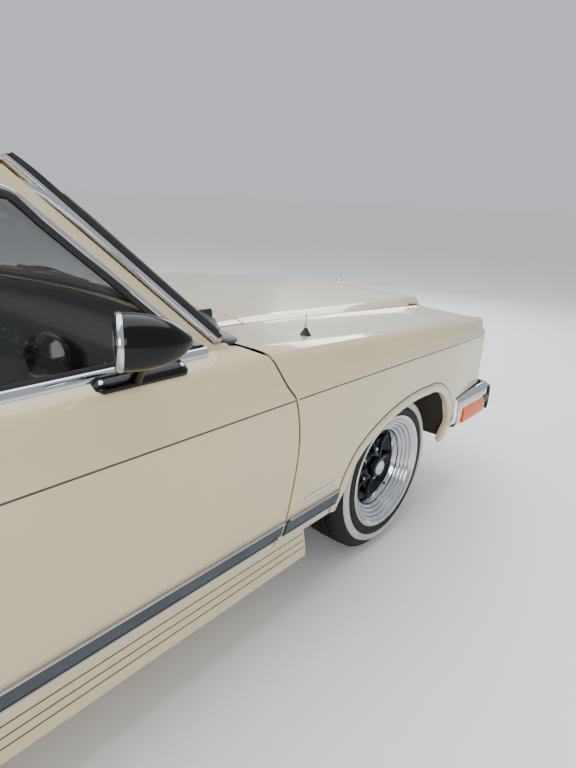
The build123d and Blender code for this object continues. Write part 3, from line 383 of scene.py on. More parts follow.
# Moulded amber acrylic: saturated, ribbed, slightly lit from inside.
AMBER_LENS = Finish("amber_lens", Pattern.RIBS, "e85a00", "dc5000", 0.12, 0.05, ior=1.49, transmission=0.0,
                    scale_mm=7, relief_mm=0.3, patch_mm=80, glow=0.18, specular=0.2)
# Moulded red acrylic: deep red and ribbed.
RED_LENS = Finish("red_lens", Pattern.RIBS, "9c0f10", "8a0c0d", 0.12, 0.05, ior=1.49, transmission=0.25,
                  scale_mm=8, relief_mm=0.3, patch_mm=80, glow=0.03)
# Painted line: thin, dark and smooth.
DARK_STRIPE = Finish("dark_stripe", Pattern.PEEL, "1d2022", "26292b", 0.3, 0.1, coat=0.5, scale_mm=3, relief_mm=0.004,
                     patch_mm=90)
# Painted studio floor: pale and even, without gloss.
FLOOR = Finish("studio_floor", Pattern.CAST, "faf9f7", "f8f7f5", 0.75, 0.06, scale_mm=4, relief_mm=0.04,
               patch_mm=900, dirt_and_hollow_shade="f2f1ee")


# ---------------------------------------------------------------- mesh helpers
FINISHES = Finishes()


def piece(name: str, bm: bmesh.types.BMesh, finish: Finish, body: str, sharp_deg: float = 32.0) -> bpy.types.Object:
    """Turn a bmesh into a finished object that rides on a body.

    Args:
        name: The object's name.
        bm: The mesh, which is freed.
        finish: What it is made of.
        body: The CAD body it moves with.
        sharp_deg: Edges steeper than this stay sharp.
    Returns:
        The new object.
    """
    bmesh.ops.recalc_face_normals(bm, faces=bm.faces)
    mesh = bpy.data.meshes.new(name)
    bm.to_mesh(mesh)
    bm.free()
    mesh.materials.append(FINISHES.get(finish))
    mesh.shade_smooth()
    mesh.set_sharp_from_angle(angle=math.radians(sharp_deg))
    obj = bpy.data.objects.new(name, mesh)
    bpy.context.scene.collection.objects.link(obj)
    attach(obj, body)
    LOG.info("piece %s: %d faces on %s", name, len(mesh.polygons), body)
    return obj


def ring_faces(bm: bmesh.types.BMesh, rings: list, closed_ring: bool = True, closed_path: bool = False,
               caps: bool = True) -> None:
    """Skin a run of vertex rings with quads, and cap its ends.

    Args:
        bm: Mesh being built.
        rings: Vertex rings, each of the same length.
        closed_ring: Whether each ring is closed.
        closed_path: Whether the last ring joins the first.
        caps: Whether the two ends are closed.
    """
    count = len(rings)
    for i in range(count if closed_path else count - 1):
        a, b = rings[i], rings[(i + 1) % count]
        size = len(a)
        for k in range(size if closed_ring else size - 1):
            j = (k + 1) % size
            bm.faces.new((a[k], a[j], b[j], b[k]))
    if caps and closed_ring and not closed_path:
        bm.faces.new(rings[0])
        bm.faces.new(rings[-1])


def sweep(bm: bmesh.types.BMesh, path: list, outs: list, profile: list, closed: bool = False,
          caps: bool = True) -> None:
    """Sweep a profile along a path whose outward direction is known at every point.

    Args:
        bm: Mesh to add to.
        path: Points of the path.
        outs: Outward direction at each point.
        profile: Pairs of across and outward offsets, in metres.
        closed: True for a loop.
        caps: True to close both ends.
    """
    rings = []
    size = len(path)
    for i in range(size):
        before = path[(i - 1) % size] if closed or i > 0 else path[i]
        after = path[(i + 1) % size] if closed or i < size - 1 else path[i]
        along = (after - before).normalized()
        out = (outs[i] - along * outs[i].dot(along)).normalized()
        across = out.cross(along)
        rings.append([bm.verts.new(path[i] + across * a + out * b) for a, b in profile])
    ring_faces(bm, rings, True, closed, caps)


def tube(bm: bmesh.types.BMesh, path: list, radius: float | list, sides: int = 10, closed: bool = False) -> None:
    """Build a round tube along a path.

    Args:
        bm: Mesh being built.
        path: Points in order.
        radius: One radius, or one for each point.
        sides: Number of sides.
        closed: Whether the path comes back to its start.
    """
    radii = radius if isinstance(radius, list) else [radius] * len(path)
    size = len(path)
    across = Vector((0, 0, 1))
    rings = []
    for i in range(size):
        before = path[(i - 1) % size] if closed or i > 0 else path[i]
        after = path[(i + 1) % size] if closed or i < size - 1 else path[i]
        along = (after - before).normalized()
        side = across - along * across.dot(along)
        if side.length < 1e-3:
            side = along.orthogonal()
        across = side.normalized()
        other = along.cross(across)
        rings.append([bm.verts.new(path[i] + radii[i] * (across * math.cos(t) + other * math.sin(t)))
                      for t in (2 * math.pi * k / sides for k in range(sides))])
    ring_faces(bm, rings, True, closed, True)


def lathe(bm: bmesh.types.BMesh, profile: list, centre: Vector, side: float, steps: int = 96,
          closed: bool = True) -> None:
    """Turn a profile about the wheel axis.

    Args:
        bm: Mesh to add to.
        profile: Pairs of radius and outward distance, in metres.
        centre: Middle of the wheel.
        side: -1 for the right of the car, 1 for the left.
        steps: Steps round the turn.
        closed: True where the profile is a closed loop.
    """
    rings = []
    for i in range(steps):
        t = 2 * math.pi * i / steps
        rings.append([bm.verts.new(centre + Vector((r * math.cos(t), side * o, r * math.sin(t)))) for r, o in profile])
    ring_faces(bm, rings, closed, True, False)


def rounded_box(bm: bmesh.types.BMesh, low: tuple, high: tuple, radius: float = 0.004, segments: int = 2,
                turn: Matrix | None = None, about: Vector | None = None) -> None:
    """Build a box with rounded edges between two corners.

    Args:
        bm: Mesh being built.
        low: Lowest corner.
        high: Highest corner.
        radius: Radius of the corners or tube.
        segments: Steps of each rounded edge.
        turn: Turn of the box, if any.
        about: Point that it turns about.
    """
    middle = (Vector(low) + Vector(high)) / 2
    spread = Vector(high) - Vector(low)
    made = bmesh.ops.create_cube(bm, size=1.0, matrix=Matrix.Translation(middle) @ Matrix.Diagonal((*spread, 1.0)))
    edges = list({e for v in made["verts"] for e in v.link_edges})
    radius = min(radius, min(abs(c) for c in spread) * 0.45)
    before = set(bm.verts) - set(made["verts"])
    bmesh.ops.bevel(bm, geom=edges, offset=radius, segments=segments, affect="EDGES", profile=0.5)
    if turn is not None:
        fresh = [v for v in bm.verts if v not in before]
        bmesh.ops.rotate(bm, cent=about or middle, matrix=turn, verts=fresh)


def turned_knob(bm: bmesh.types.BMesh, base: Vector, axis: Vector, profile: list, sides: int = 20) -> None:
    """Build a small round piece about any axis.

    Args:
        bm: Mesh being built.
        base: Start of the axis.
        axis: Direction of the axis.
        profile: Pairs of radius and height.
        sides: Number of sides.
    """
    axis = axis.normalized()
    a = axis.orthogonal().normalized()
    b = axis.cross(a)
    rings = []
    for r, h in profile:
        rings.append([bm.verts.new(base + axis * h + max(r, 1e-5) * (a * math.cos(t) + b * math.sin(t)))
                      for t in (2 * math.pi * k / sides for k in range(sides))])
    ring_faces(bm, rings, True, False, True)


class PanelSkin:
    """Rays onto chosen CAD nodes, so that trim lies on the real panels."""

    def __init__(self, nodes: list[str]) -> None:
        """Gather the faces of CAD nodes into one surface to cast rays at.

        Args:
            nodes: Names of the nodes.
        """
        verts, polys = [], []
        for name in nodes:
            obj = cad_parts[name]
            base = len(verts)
            verts += [obj.matrix_world @ v.co for v in obj.data.vertices]
            polys += [[base + i for i in p.vertices] for p in obj.data.polygons]
        self.tree = BVHTree.FromPolygons(verts, polys)

    def cast(self, start: Vector, way: Vector) -> tuple[Vector, Vector] | None:
        """Cast a ray and turn the normal back along it.

        Args:
            start: Start of the ray.
            way: Its direction.
        Returns:
            Place and normal of the first hit, or None.
        """
        spot, normal, _, _ = self.tree.ray_cast(start, way)
        if spot is None:
            return None
        return spot, (-normal if normal.dot(way) > 0 else normal)

    def side(self, x: float, z: float, side: float) -> tuple[Vector, Vector] | None:
        """Point on the flank of the car at one x and height."""
        return self.cast(Vector((x, side * 1.6, z)), Vector((0, -side, 0)))

    def top(self, x: float, y: float) -> tuple[Vector, Vector] | None:
        """Point on the upper skin of the car."""
        return self.cast(Vector((x, y, 2.0)), Vector((0, 0, -1)))

    def end(self, y: float, z: float, sign: float) -> tuple[Vector, Vector] | None:
        """Point on the nose or the tail."""
        return self.cast(Vector((sign * 3.2, y, z)), Vector((-sign, 0, 0)))


def smooth_shading(obj: bpy.types.Object, limit_deg: float = 28.0) -> None:
    """Give a CAD panel averaged normals over shallow edges, leaving its shape alone.

    Args:
        obj: The panel.
        limit_deg: Faces that meet steeper than this keep a sharp edge.
    """
    mesh = obj.data
    mesh.shade_smooth()
    limit = math.cos(math.radians(limit_deg))
    spots: dict[tuple, list] = {}
    for poly in mesh.polygons:
        for index in poly.vertices:
            key = tuple(round(c * 5000) for c in mesh.vertices[index].co)
            spots.setdefault(key, []).append((poly.normal.copy(), poly.area))
    normals = [Vector((0, 0, 1))] * len(mesh.loops)
    for poly in mesh.polygons:
        for loop in poly.loop_indices:
            key = tuple(round(c * 5000) for c in mesh.vertices[mesh.loops[loop].vertex_index].co)
            total = Vector((0, 0, 0))
            for normal, area in spots[key]:
                if normal.dot(poly.normal) > limit:
                    total += normal * area
            normals[loop] = total.normalized() if total.length > 1e-12 else poly.normal.copy()
    mesh.normals_split_custom_set([tuple(n) for n in normals])


# ---------------------------------------------------------------- geometry nodes: what repeats round a wheel
def repeat_round(name: str, source: bpy.types.Object, count: int, centre: Vector, finish: Finish,
                 phase: float = 0.0) -> bpy.types.Mesh:
    """Copy one mesh round the wheel axis with a geometry node tree, and return the plain mesh.

    Args:
        name: Name of the result.
        source: Hidden object whose mesh is repeated, placed at the top of the wheel.
        count: How many copies.
        centre: Middle of the wheel.
        finish: Surface of the copies.
        phase: Turn of the first copy, in radians.
    Returns:
        A mesh with every copy made real.
    """
    tree = bpy.data.node_groups.new(name + "_nodes", "GeometryNodeTree")
    tree.interface.new_socket("Geometry", in_out="INPUT", socket_type="NodeSocketGeometry")
    tree.interface.new_socket("Count", in_out="INPUT", socket_type="NodeSocketInt")
    tree.interface.new_socket("Geometry", in_out="OUTPUT", socket_type="NodeSocketGeometry")
    nodes, links = tree.nodes, tree.links
    ends = nodes.new("NodeGroupInput")
    out = nodes.new("NodeGroupOutput")
    line = nodes.new("GeometryNodeMeshLine")
    line.inputs["Offset"].default_value = (0, 0, 0)
    links.new(ends.outputs["Count"], line.inputs["Count"])
    index = nodes.new("GeometryNodeInputIndex")
    share = nodes.new("ShaderNodeMath")
    share.operation = "DIVIDE"
    links.new(index.outputs[0], share.inputs[0])
    links.new(ends.outputs["Count"], share.inputs[1])
    turn = nodes.new("ShaderNodeMath")
    turn.operation = "MULTIPLY_ADD"
    links.new(share.outputs[0], turn.inputs[0])
    turn.inputs[1].default_value = 2 * math.pi
    turn.inputs[2].default_value = phase
    angles = nodes.new("ShaderNodeCombineXYZ")
    links.new(turn.outputs[0], angles.inputs["Y"])
    info = nodes.new("GeometryNodeObjectInfo")
    info.inputs["Object"].default_value = source
    copies = nodes.new("GeometryNodeInstanceOnPoints")
    links.new(line.outputs["Mesh"], copies.inputs["Points"])
    links.new(info.outputs["Geometry"], copies.inputs["Instance"])
    links.new(angles.outputs[0], copies.inputs["Rotation"])
    real = nodes.new("GeometryNodeRealizeInstances")
    links.new(copies.outputs[0], real.inputs[0])
    coat = nodes.new("GeometryNodeSetMaterial")
    coat.inputs["Material"].default_value = FINISHES.get(finish)
    links.new(real.outputs[0], coat.inputs["Geometry"])
    links.new(coat.outputs[0], out.inputs["Geometry"])
    host = bpy.data.objects.new(name + "_host", bpy.data.meshes.new(name + "_host"))
    bpy.context.scene.collection.objects.link(host)
    modifier = host.modifiers.new("repeat", "NODES")
    modifier.node_group = tree
    modifier[tree.interface.items_tree[2].identifier if tree.interface.items_tree[2].in_out == "INPUT"
             else tree.interface.items_tree[1].identifier] = count
    shown = host.evaluated_get(bpy.context.evaluated_depsgraph_get())
    mesh = bpy.data.meshes.new_from_object(shown)
    bpy.data.objects.remove(host)
    bpy.data.objects.remove(source)
    mesh.transform(Matrix.Translation(centre))
    return mesh


def hidden_source(name: str, bm: bmesh.types.BMesh) -> bpy.types.Object:
    """Make an unrendered object to be repeated.

    Args:
        name: Name of the piece.
        bm: Mesh, freed here.
    Returns:
        The hidden object.
    """
    bmesh.ops.recalc_face_normals(bm, faces=bm.faces)
    mesh = bpy.data.meshes.new(name)
    bm.to_mesh(mesh)
    bm.free()
    obj = bpy.data.objects.new(name, mesh)
    obj.hide_render = True
    bpy.context.scene.collection.objects.link(obj)
    return obj


def thinned(mesh: bpy.types.Mesh, share: float) -> bpy.types.Mesh:
    """Collapse a dense mesh evenly to a share of its faces.

    Args:
        mesh: The dense mesh.
        share: Part of its faces to keep, from 0 to 1.

    Returns:
        The lighter mesh.
    """
    obj = bpy.data.objects.new(mesh.name + "_dense", mesh)
    bpy.context.scene.collection.objects.link(obj)
    collapse = obj.modifiers.new("collapse", "DECIMATE")
    collapse.ratio = share
    light = bpy.data.meshes.new_from_object(obj.evaluated_get(bpy.context.evaluated_depsgraph_get()))
    bpy.data.objects.remove(obj)
    return light


def mesh_piece(name: str, mesh: bpy.types.Mesh, finish: Finish, body: str, sharp_deg: float = 32.0) -> bpy.types.Object:
    """Link a ready mesh as a finished piece on a body.

    Args:
        name: Name of the piece.
        mesh: Ready mesh.
        finish: Finish to show.
        body: Body that carries it.
        sharp_deg: Angle past which an edge is sharp.
    Returns:
        The piece.
    """
    mesh.name = name
    if not mesh.materials:
        mesh.materials.append(FINISHES.get(finish))
    mesh.shade_smooth()
    mesh.set_sharp_from_angle(angle=math.radians(sharp_deg))
    obj = bpy.data.objects.new(name, mesh)
    bpy.context.scene.collection.objects.link(obj)
    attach(obj, body)
    LOG.info("piece %s: %d faces on %s", name, len(mesh.polygons), body)
    return obj


# ---------------------------------------------------------------- wheels and tyres
@dataclass(frozen=True)
class WheelSizes:
    """Sizes of one road wheel, in metres."""

    tyre_r: float = 0.329
    carcass_r: float = 0.3215
    half_width: float = 0.0995
    bead_r: float = 0.186
    ring_in_r: float = 0.2600
    ring_out_r: float = 0.2865
    block_rows: tuple = (-0.058, -0.029, 0.0, 0.029, 0.058)
    block_count: int = 56
    slots: int = 8
    spokes: int = 8


class RoadWheel:
    """A white-ring tyre on a styled steel wheel with a stepped bright trim ring."""

    def __init__(self, end: str, side_name: str, sizes: WheelSizes = WheelSizes()) -> None:
        """Read the place of one wheel from its CAD tyre.

        Args:
            end: "front" or "rear".
            side_name: "right" or "left".
            sizes: Sizes of the wheel.
        """
        self.key = f"{end}_{side_name}"
        self.side = RIGHT if side_name == "right" else LEFT
        self.body = f"{end}_wheel_{side_name}"
        low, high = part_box(f"tyre_{self.key}")
        self.centre = (Vector(low) + Vector(high)) / 2
        self.sizes = sizes

    def build(self) -> None:
        """Build the tyre, its white ring, the tread and the wheel."""
        self._tyre()
        self._tread()
        self._rim()
        self._face()
        self._cap()

    def _tyre(self) -> None:
        """Build the tyre and its white ring."""
        s = self.sizes
        outer = [(0.3205, 0.0), (0.3205, 0.0715), (0.3170, 0.0765), (0.3100, 0.0835), (0.3000, 0.0915),
                 (0.2900, 0.0972), (0.2815, 0.1010), (0.2800, 0.1002), (0.2500, 0.1072), (0.2485, 0.1086),
                 (0.2400, 0.1090), (0.2320, 0.1074), (0.2300, 0.1076), (0.2260, 0.1040), (0.2140, 0.0985),
                 (0.2000, 0.0900), (0.1900, 0.0830), (0.1868, 0.0780), (0.1868, 0.066)]
        inner = [(0.196, 0.064), (0.215, 0.078), (0.262, 0.088), (0.300, 0.078), (0.311, 0.05), (0.311, 0.0)]
        half = outer + inner
        loop = half + [(r, -o) for r, o in reversed(half) if o > 0]
        bm = bmesh.new()
        lathe(bm, loop, self.centre, self.side, 128)
        tyre = piece(f"tyre_body_{self.key}", bm, TYRE, self.body, 40)
        bm = bmesh.new()
        a, b = s.ring_in_r, s.ring_out_r
        lathe(bm, [(a, 0.1045), (a + 0.001, 0.1083), ((a + b) / 2, 0.1068), (b - 0.001, 0.1030), (b, 0.0998)],
              self.centre, self.side, 128)
        ring = piece(f"tyre_ring_{self.key}", bm, WHITEWALL, self.body)
        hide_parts(f"tyre_{self.key}")

    def _tread(self) -> None:
        """Repeat the tread blocks round the tyre in rows."""
        s = self.sizes
        for row, o in enumerate(s.block_rows):
            bm = bmesh.new()
            wide = 0.0118
            edge = abs(o) > 0.05
            outer_o = o + math.copysign(0.0132, o) if edge else o + wide
            inner_o = o - math.copysign(wide, o) if edge else o - wide
            long = math.pi * s.tyre_r / s.block_count - 0.0012
            top = s.tyre_r - (0.0025 if edge else 0.0)
            lean = 0.005 * (-1 if row % 2 else 1)
            ring = []
            for z, shrink in ((0.318, 0.0), (top - 0.001, 0.0006), (top, 0.0016)):
                o0, o1 = sorted((outer_o, inner_o))
                ring.append([bm.verts.new((x + (lean if o_ > o else -lean), self.side * o_, z)) for x, o_ in (
                    (-long + shrink, o0 + shrink), (long - shrink, o0 + shrink),
                    (long - shrink, o1 - shrink), (-long + shrink, o1 - shrink))])
            ring_faces(bm, ring)
            source = hidden_source(f"tread_block_{self.key}_{row}", bm)
            phase = 0.5 * row * 2 * math.pi / s.block_count
            mesh = repeat_round(f"tread_{self.key}_{row}", source, s.block_count, self.centre, TYRE, phase)
            mesh_piece(f"tread_{self.key}_{row}", mesh, TYRE, self.body)

    def _rim(self) -> None:
        """Build the stepped trim ring and the rim."""
        bm = bmesh.new()
        lathe(bm, [(0.1860, -0.078), (0.1905, -0.0785), (0.1905, -0.074), (0.1845, -0.071), (0.1845, 0.0685),
                   (0.1905, 0.0735), (0.1925, 0.0775), (0.1900, 0.0815), (0.1850, 0.0800), (0.1800, 0.0660),
                   (0.1760, 0.0560), (0.1720, 0.0520), (0.1680, 0.0300), (0.1680, -0.060), (0.1790, -0.072)],
              self.centre, self.side, 128)
        rim = piece(f"rim_{self.key}", bm, CHROME, self.body, 50)
        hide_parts(f"wheel_{self.key}")
        bm = bmesh.new()
        lathe(bm, [(0.2120, 0.0990), (0.2180, 0.1035), (0.2235, 0.1050), (0.2262, 0.1066), (0.2268, 0.1086),
                   (0.2240, 0.1104), (0.2190, 0.1100), (0.2130, 0.1070), (0.2070, 0.1010), (0.2000, 0.0935),
                   (0.2000, 0.0900)], self.centre, self.side, 128)
        for r, o in ((0.2010, 0.0955), (0.1880, 0.0850), (0.1750, 0.0740), (0.1620, 0.0630)):
            lathe(bm, [(r + 0.0062, o - 0.001), (r + 0.0050, o + 0.0046), (r + 0.0010, o + 0.0062),
                       (r - 0.0040, o + 0.0044), (r - 0.0090, o - 0.0060), (r - 0.0060, o - 0.0120),
                       (r + 0.0060, o - 0.0100)], self.centre, self.side, 128)
        lathe(bm, [(0.1990, 0.0930), (0.1520, 0.0540), (0.1470, 0.0400), (0.1440, 0.0330), (0.1440, 0.0290),
                   (0.1540, 0.0420), (0.1975, 0.0830)], self.centre, self.side, 128)
        ring = piece(f"trim_ring_{self.key}", bm, CHROME, self.body, 60)

    def _face(self) -> None:
        """Build the wheel disc, spokes and nuts."""
        # The black disc behind the spokes darkens the gaps between them: painted shade.
        bm = bmesh.new()
        lathe(bm, [(0.1475, 0.0260), (0.1420, 0.0300), (0.1300, 0.0240), (0.1180, 0.0130), (0.1020, 0.0080),
                   (0.0820, 0.0160), (0.0660, 0.0300), (0.0560, 0.0340), (0.0560, 0.0250), (0.0800, 0.0080),
                   (0.1020, 0.0000), (0.1250, 0.0060), (0.1475, 0.0180)], self.centre, self.side, 128)
        piece(f"wheel_disc_{self.key}", bm, BLACK_GLOSS, self.body, 50)
        s = self.sizes
        bm = bmesh.new()
        rings = []
        for r, o, w in ((0.050, 0.0440, 0.0115), (0.070, 0.0400, 0.0105), (0.095, 0.0300, 0.0100),
                        (0.120, 0.0290, 0.0115), (0.1445, 0.0345, 0.0165)):
            rings.append([bm.verts.new((x, self.side * oo, r)) for x, oo in (
                (-w, o - 0.010), (-w, o - 0.002), (-w * 0.62, o + 0.0015), (0, o + 0.0022), (w * 0.62, o + 0.0015),
                (w, o - 0.002), (w, o - 0.010))])
        ring_faces(bm, rings)
        source = hidden_source(f"spoke_{self.key}", bm)
        # The spokes take the darkened chrome: painted shade and dark reflection in the wheel centre.
        mesh = repeat_round(f"spokes_{self.key}", source, s.spokes, self.centre, DARK_CHROME)
        mesh_piece(f"spokes_{self.key}", mesh, DARK_CHROME, self.body, 40)
        bm = bmesh.new()
        turned_knob(bm, Vector((0, self.side * 0.018, 0.0572 + 0.009)), Vector((0, self.side, 0)),
                    [(0.0105, 0), (0.0105, 0.013), (0.0085, 0.020), (0.0040, 0.023)], 6)
        source = hidden_source(f"nut_{self.key}", bm)
        mesh = repeat_round(f"nuts_{self.key}", source, 5, self.centre, CHROME, 0.3)
        mesh_piece(f"nuts_{self.key}", mesh, CHROME, self.body)
        bm = bmesh.new()
        turned_knob(bm, self.centre + Vector((0.098, self.side * 0.016, -0.118)), Vector((-0.1, self.side, 0.1)),
                    [(0.0042, 0), (0.0042, 0.022), (0.0050, 0.023), (0.0050, 0.031), (0.0040, 0.034)], 14)
        piece(f"valve_{self.key}", bm, RUBBER, self.body)

    def _cap(self) -> None:
        """Build the centre cap."""
        bm = bmesh.new()
        turned_knob(bm, self.centre + Vector((0, self.side * 0.030, 0)), Vector((0, self.side, 0)),
                    [(0.0600, 0.0), (0.0600, 0.006), (0.0570, 0.010), (0.0420, 0.013), (0.0410, 0.030),
                     (0.0385, 0.036), (0.0300, 0.0385), (0.0290, 0.0355), (0.0150, 0.0375), (0.0050, 0.0395)], 48)
        # The cap takes the darkened chrome: painted shade in the wheel centre.
        piece(f"wheel_cap_{self.key}", bm, DARK_CHROME, self.body, 35)
        bm = bmesh.new()
        turned_knob(bm, self.centre + Vector((0, self.side * 0.060, 0)), Vector((0, self.side, 0)),
                    [(0.0300, 0.0), (0.0300, 0.0105), (0.0270, 0.0140), (0.0120, 0.0165), (0.0020, 0.0170)], 40)
        piece(f"wheel_boss_{self.key}", bm, CHROME, self.body, 35)


# ---------------------------------------------------------------- body trim
@dataclass(frozen=True)
class BodyLines:
    """Heights and ends of the lines along the flank, in metres."""

    pinstripe: tuple = ((2.335, 0.757), (2.0, 0.775), (1.566, 0.786), (1.1, 0.793), (0.7, 0.797), (-0.2, 0.806),
                        (-1.225, 0.800), (-1.9, 0.786), (-2.395, 0.771))
    moulding_low: float = 0.371
    moulding_high: float = 0.418
    belt: float = 0.953
    door_split: float = -0.185


def arc_points(start: Vector, middle: Vector, finish: Vector, steps: int) -> list[Vector]:
    """Find points of the flat arc through three points.

    Args:
        start: First point.
        middle: Point on the arc.
        finish: Last point.
        steps: Number of steps.
    Returns:
        Points in order.
    """
    ax, ay, bx, by, cx, cy = start.x, start.y, middle.x, middle.y, finish.x, finish.y
    d = 2 * (ax * (by - cy) + bx * (cy - ay) + cx * (ay - by))
    ux = ((ax * ax + ay * ay) * (by - cy) + (bx * bx + by * by) * (cy - ay) + (cx * cx + cy * cy) * (ay - by)) / d
    uy = ((ax * ax + ay * ay) * (cx - bx) + (bx * bx + by * by) * (ax - cx) + (cx * cx + cy * cy) * (bx - ax)) / d
    hub = Vector((ux, uy))
    radius = (start - hub).length
    a0, a1, a2 = (math.atan2(p.y - uy, p.x - ux) for p in (start, middle, finish))
    sweep_angle = (a2 - a0) % (2 * math.pi)
    if (a1 - a0) % (2 * math.pi) > sweep_angle:
        sweep_angle -= 2 * math.pi
    return [hub + radius * Vector((math.cos(a0 + sweep_angle * k / steps), math.sin(a0 + sweep_angle * k / steps)))
            for k in range(steps + 1)]


def span(start: float, end: float, step: float) -> list[float]:
    """Evenly spaced values from start to end, both included."""
    count = max(2, int(abs(end - start) / step) + 1)
    return [start + (end - start) * i / (count - 1) for i in range(count)]


def table_value(rows: tuple, x: float) -> float:
    """Read a table of pairs at one x, in straight lines.

    Args:
        rows: Pairs of x and value.
        x: Where to read.
    Returns:
        The value there.
    """
    ordered = sorted(rows)
    for (x0, v0), (x1, v1) in zip(ordered, ordered[1:]):
        if x0 <= x <= x1:
            return v0 + (v1 - v0) * (x - x0) / (x1 - x0)
    return ordered[0][1] if x < ordered[0][0] else ordered[-1][1]


class FlankTrim:
    """Pinstripe, vinyl moulding, arch lips, belt chrome and handles on one side of the car."""

    PANELS = (("fender", "car", ("fender_{s}",)), ("front_door", "front_door_{s}", ("door_front_{s}",)),
              ("rear_door", "rear_door_{s}", ("door_rear_{s}",)), ("quarter", "car", ("body_shell",)))

    def __init__(self, side_name: str, lines: BodyLines = BodyLines()) -> None:
        """Gather the panels and bodies of one side.

        Args:
            side_name: "right" or "left".
            lines: Heights of the trim.
        """
        self.side_name = side_name
        self.side = RIGHT if side_name == "right" else LEFT
        self.lines = lines
        self.skins = {}
        self.bodies = {}
        for name, body, nodes in self.PANELS:
            self.skins[name] = PanelSkin([n.format(s=side_name) for n in nodes])
            self.bodies[name] = body.format(s=side_name)

    def build(self) -> None:
        """Add every piece of trim of this side."""
        for panel in self.skins:
            self._pinstripe(panel)
            self._moulding(panel)
        self._arch_lip("front")
        self._arch_lip("rear")
        self._belt()
        self._handles()
        self._gap_shade_strips()

    def _run(self, panel: str, xs: list[float], height: Callable[[float], float]) -> tuple[list, list]:
        """Follow a panel at a height that depends on x.

        Args:
            panel: Name of the panel, as in PANELS.
            xs: Positions along the car.
            height: Height at an x.
        Returns:
            Points and outward normals.
        """
        path, outs = [], []
        for x in xs:
            hit = self.skins[panel].side(x, height(x), self.side)
            if hit is not None and abs(hit[0].y) > 0.80:
                path.append(hit[0])
                outs.append(hit[1])
        return path, outs

    def _ranges(self, panel: str, z: float) -> tuple[float, float]:
        """Find where a panel starts and ends at one height, by casting rays.

        Args:
            panel: Name of the panel, as in PANELS.
            z: Height above the ground.
        Returns:
            Start and end x.
        """
        low, high = {"fender": (0.85, 2.42), "front_door": (-0.20, 0.96), "rear_door": (-0.92, -0.18),
                     "quarter": (-2.43, -0.70)}[panel]
        hits = [x for x in span(low, high, 0.004)
                if (h := self.skins[panel].side(x, z, self.side)) is not None and abs(h[0].y) > 0.84]
        return (min(hits), max(hits)) if hits else (0.0, 0.0)

    def _gap_shade_strips(self) -> None:
        """Thin dark strips in the rubber finish, set back inside the upright gaps between the panels: painted shade
        deep in the gaps.
        """
        for fore, aft, near in (("fender", "front_door", 0.95), ("front_door", "rear_door", -0.19),
                                ("rear_door", "quarter", -0.90)):
            path = []
            for z in span(0.360, 0.925, 0.020):
                xs = span(near - 0.11, near + 0.11, 0.002)
                front = [x for x in xs if self.skins[fore].side(x, z, self.side) is not None]
                back = [x for x in xs if (h := self.skins[aft].side(x, z,
                                                                    self.side)) is not None and abs(h[0].y) > 0.84]
                if not front or not back or not 0.0 < min(front) - max(b for b in back
                                                                       if b < min(front) + 0.002) < 0.016:
                    continue
                x = (min(front) + max(b for b in back if b < min(front) + 0.002)) / 2
                hit = self.skins[fore].side(min(front) + 0.002, z, self.side)
                path.append(Vector((x, hit[0].y - self.side * 0.0045, z)))
            if len(path) < 5:
                continue
            bm = bmesh.new()
            sweep(bm, path, [Vector((0, self.side, 0))] * len(path), [(-0.0019, -0.003), (-0.0019, 0.002), (0, 0.0030),
                                                                      (0.0019, 0.002), (0.0019, -0.003)])
            piece(f"gap_seal_{fore}_{self.side_name}", bm, RUBBER, "car")

    def _pinstripe(self, panel: str) -> None:
        """Lay the thin dark stripe on one panel.

        Args:
            panel: Name of the panel, as in PANELS.
        """
        start, end = self._ranges(panel, 0.79)
        if end - start < 0.1:
            return
        path, outs = self._run(panel, span(start + 0.003, end - 0.003, 0.04),
                               lambda x: table_value(self.lines.pinstripe, x))
        bm = bmesh.new()
        sweep(bm, path, outs, [(-0.0022, -0.0005), (-0.0022, 0.0007), (0.0022, 0.0007), (0.0022, -0.0005)])
        piece(f"pinstripe_{panel}_{self.side_name}", bm, DARK_STRIPE, self.bodies[panel])

    def _moulding(self, panel: str) -> None:
        """Lay the slate moulding and its two bright beads on one panel.

        Args:
            panel: Name of the panel, as in PANELS.
        """
        middle = (self.lines.moulding_low + self.lines.moulding_high) / 2
        half = (self.lines.moulding_high - self.lines.moulding_low) / 2
        start, end = self._ranges(panel, middle)
        if panel == "fender":
            end = 1.172
        if panel == "quarter":
            start, end = -1.79, -1.622
        if end - start < 0.05:
            return
        path, outs = self._run(panel, span(start + 0.003, end - 0.003, 0.05), lambda x: middle)
        if len(path) < 2:
            return
        bm = bmesh.new()
        sweep(bm, path, outs, [(-half, -0.001), (-half, 0.003), (-half * 0.88, 0.0065), (0, 0.0080),
                               (half * 0.88, 0.0065), (half, 0.003), (half, -0.001)])
        name = f"moulding_{panel}_{self.side_name}"
        piece(name, bm, SLATE, self.bodies[panel])
        for edge, sign in (("top", 1), ("low", -1)):
            height = middle + sign * (half + 0.0022)
            first, last = self._ranges(panel, height)
            first, last = max(first, start - 0.03), min(last, end) if panel in ("fender", "quarter") else last
            edge_path, edge_outs = self._run(panel, span(first + 0.003, last - 0.003, 0.025), lambda x: height)
            bm = bmesh.new()
            sweep(bm, edge_path, edge_outs, [(-0.003, -0.001), (-0.003, 0.0055), (-0.0015, 0.0090), (0.0015, 0.0090),
                                             (0.003, 0.004), (0.003, -0.001)])
            piece(f"{name}_{edge}_bead", bm, POLISHED, self.bodies[panel])

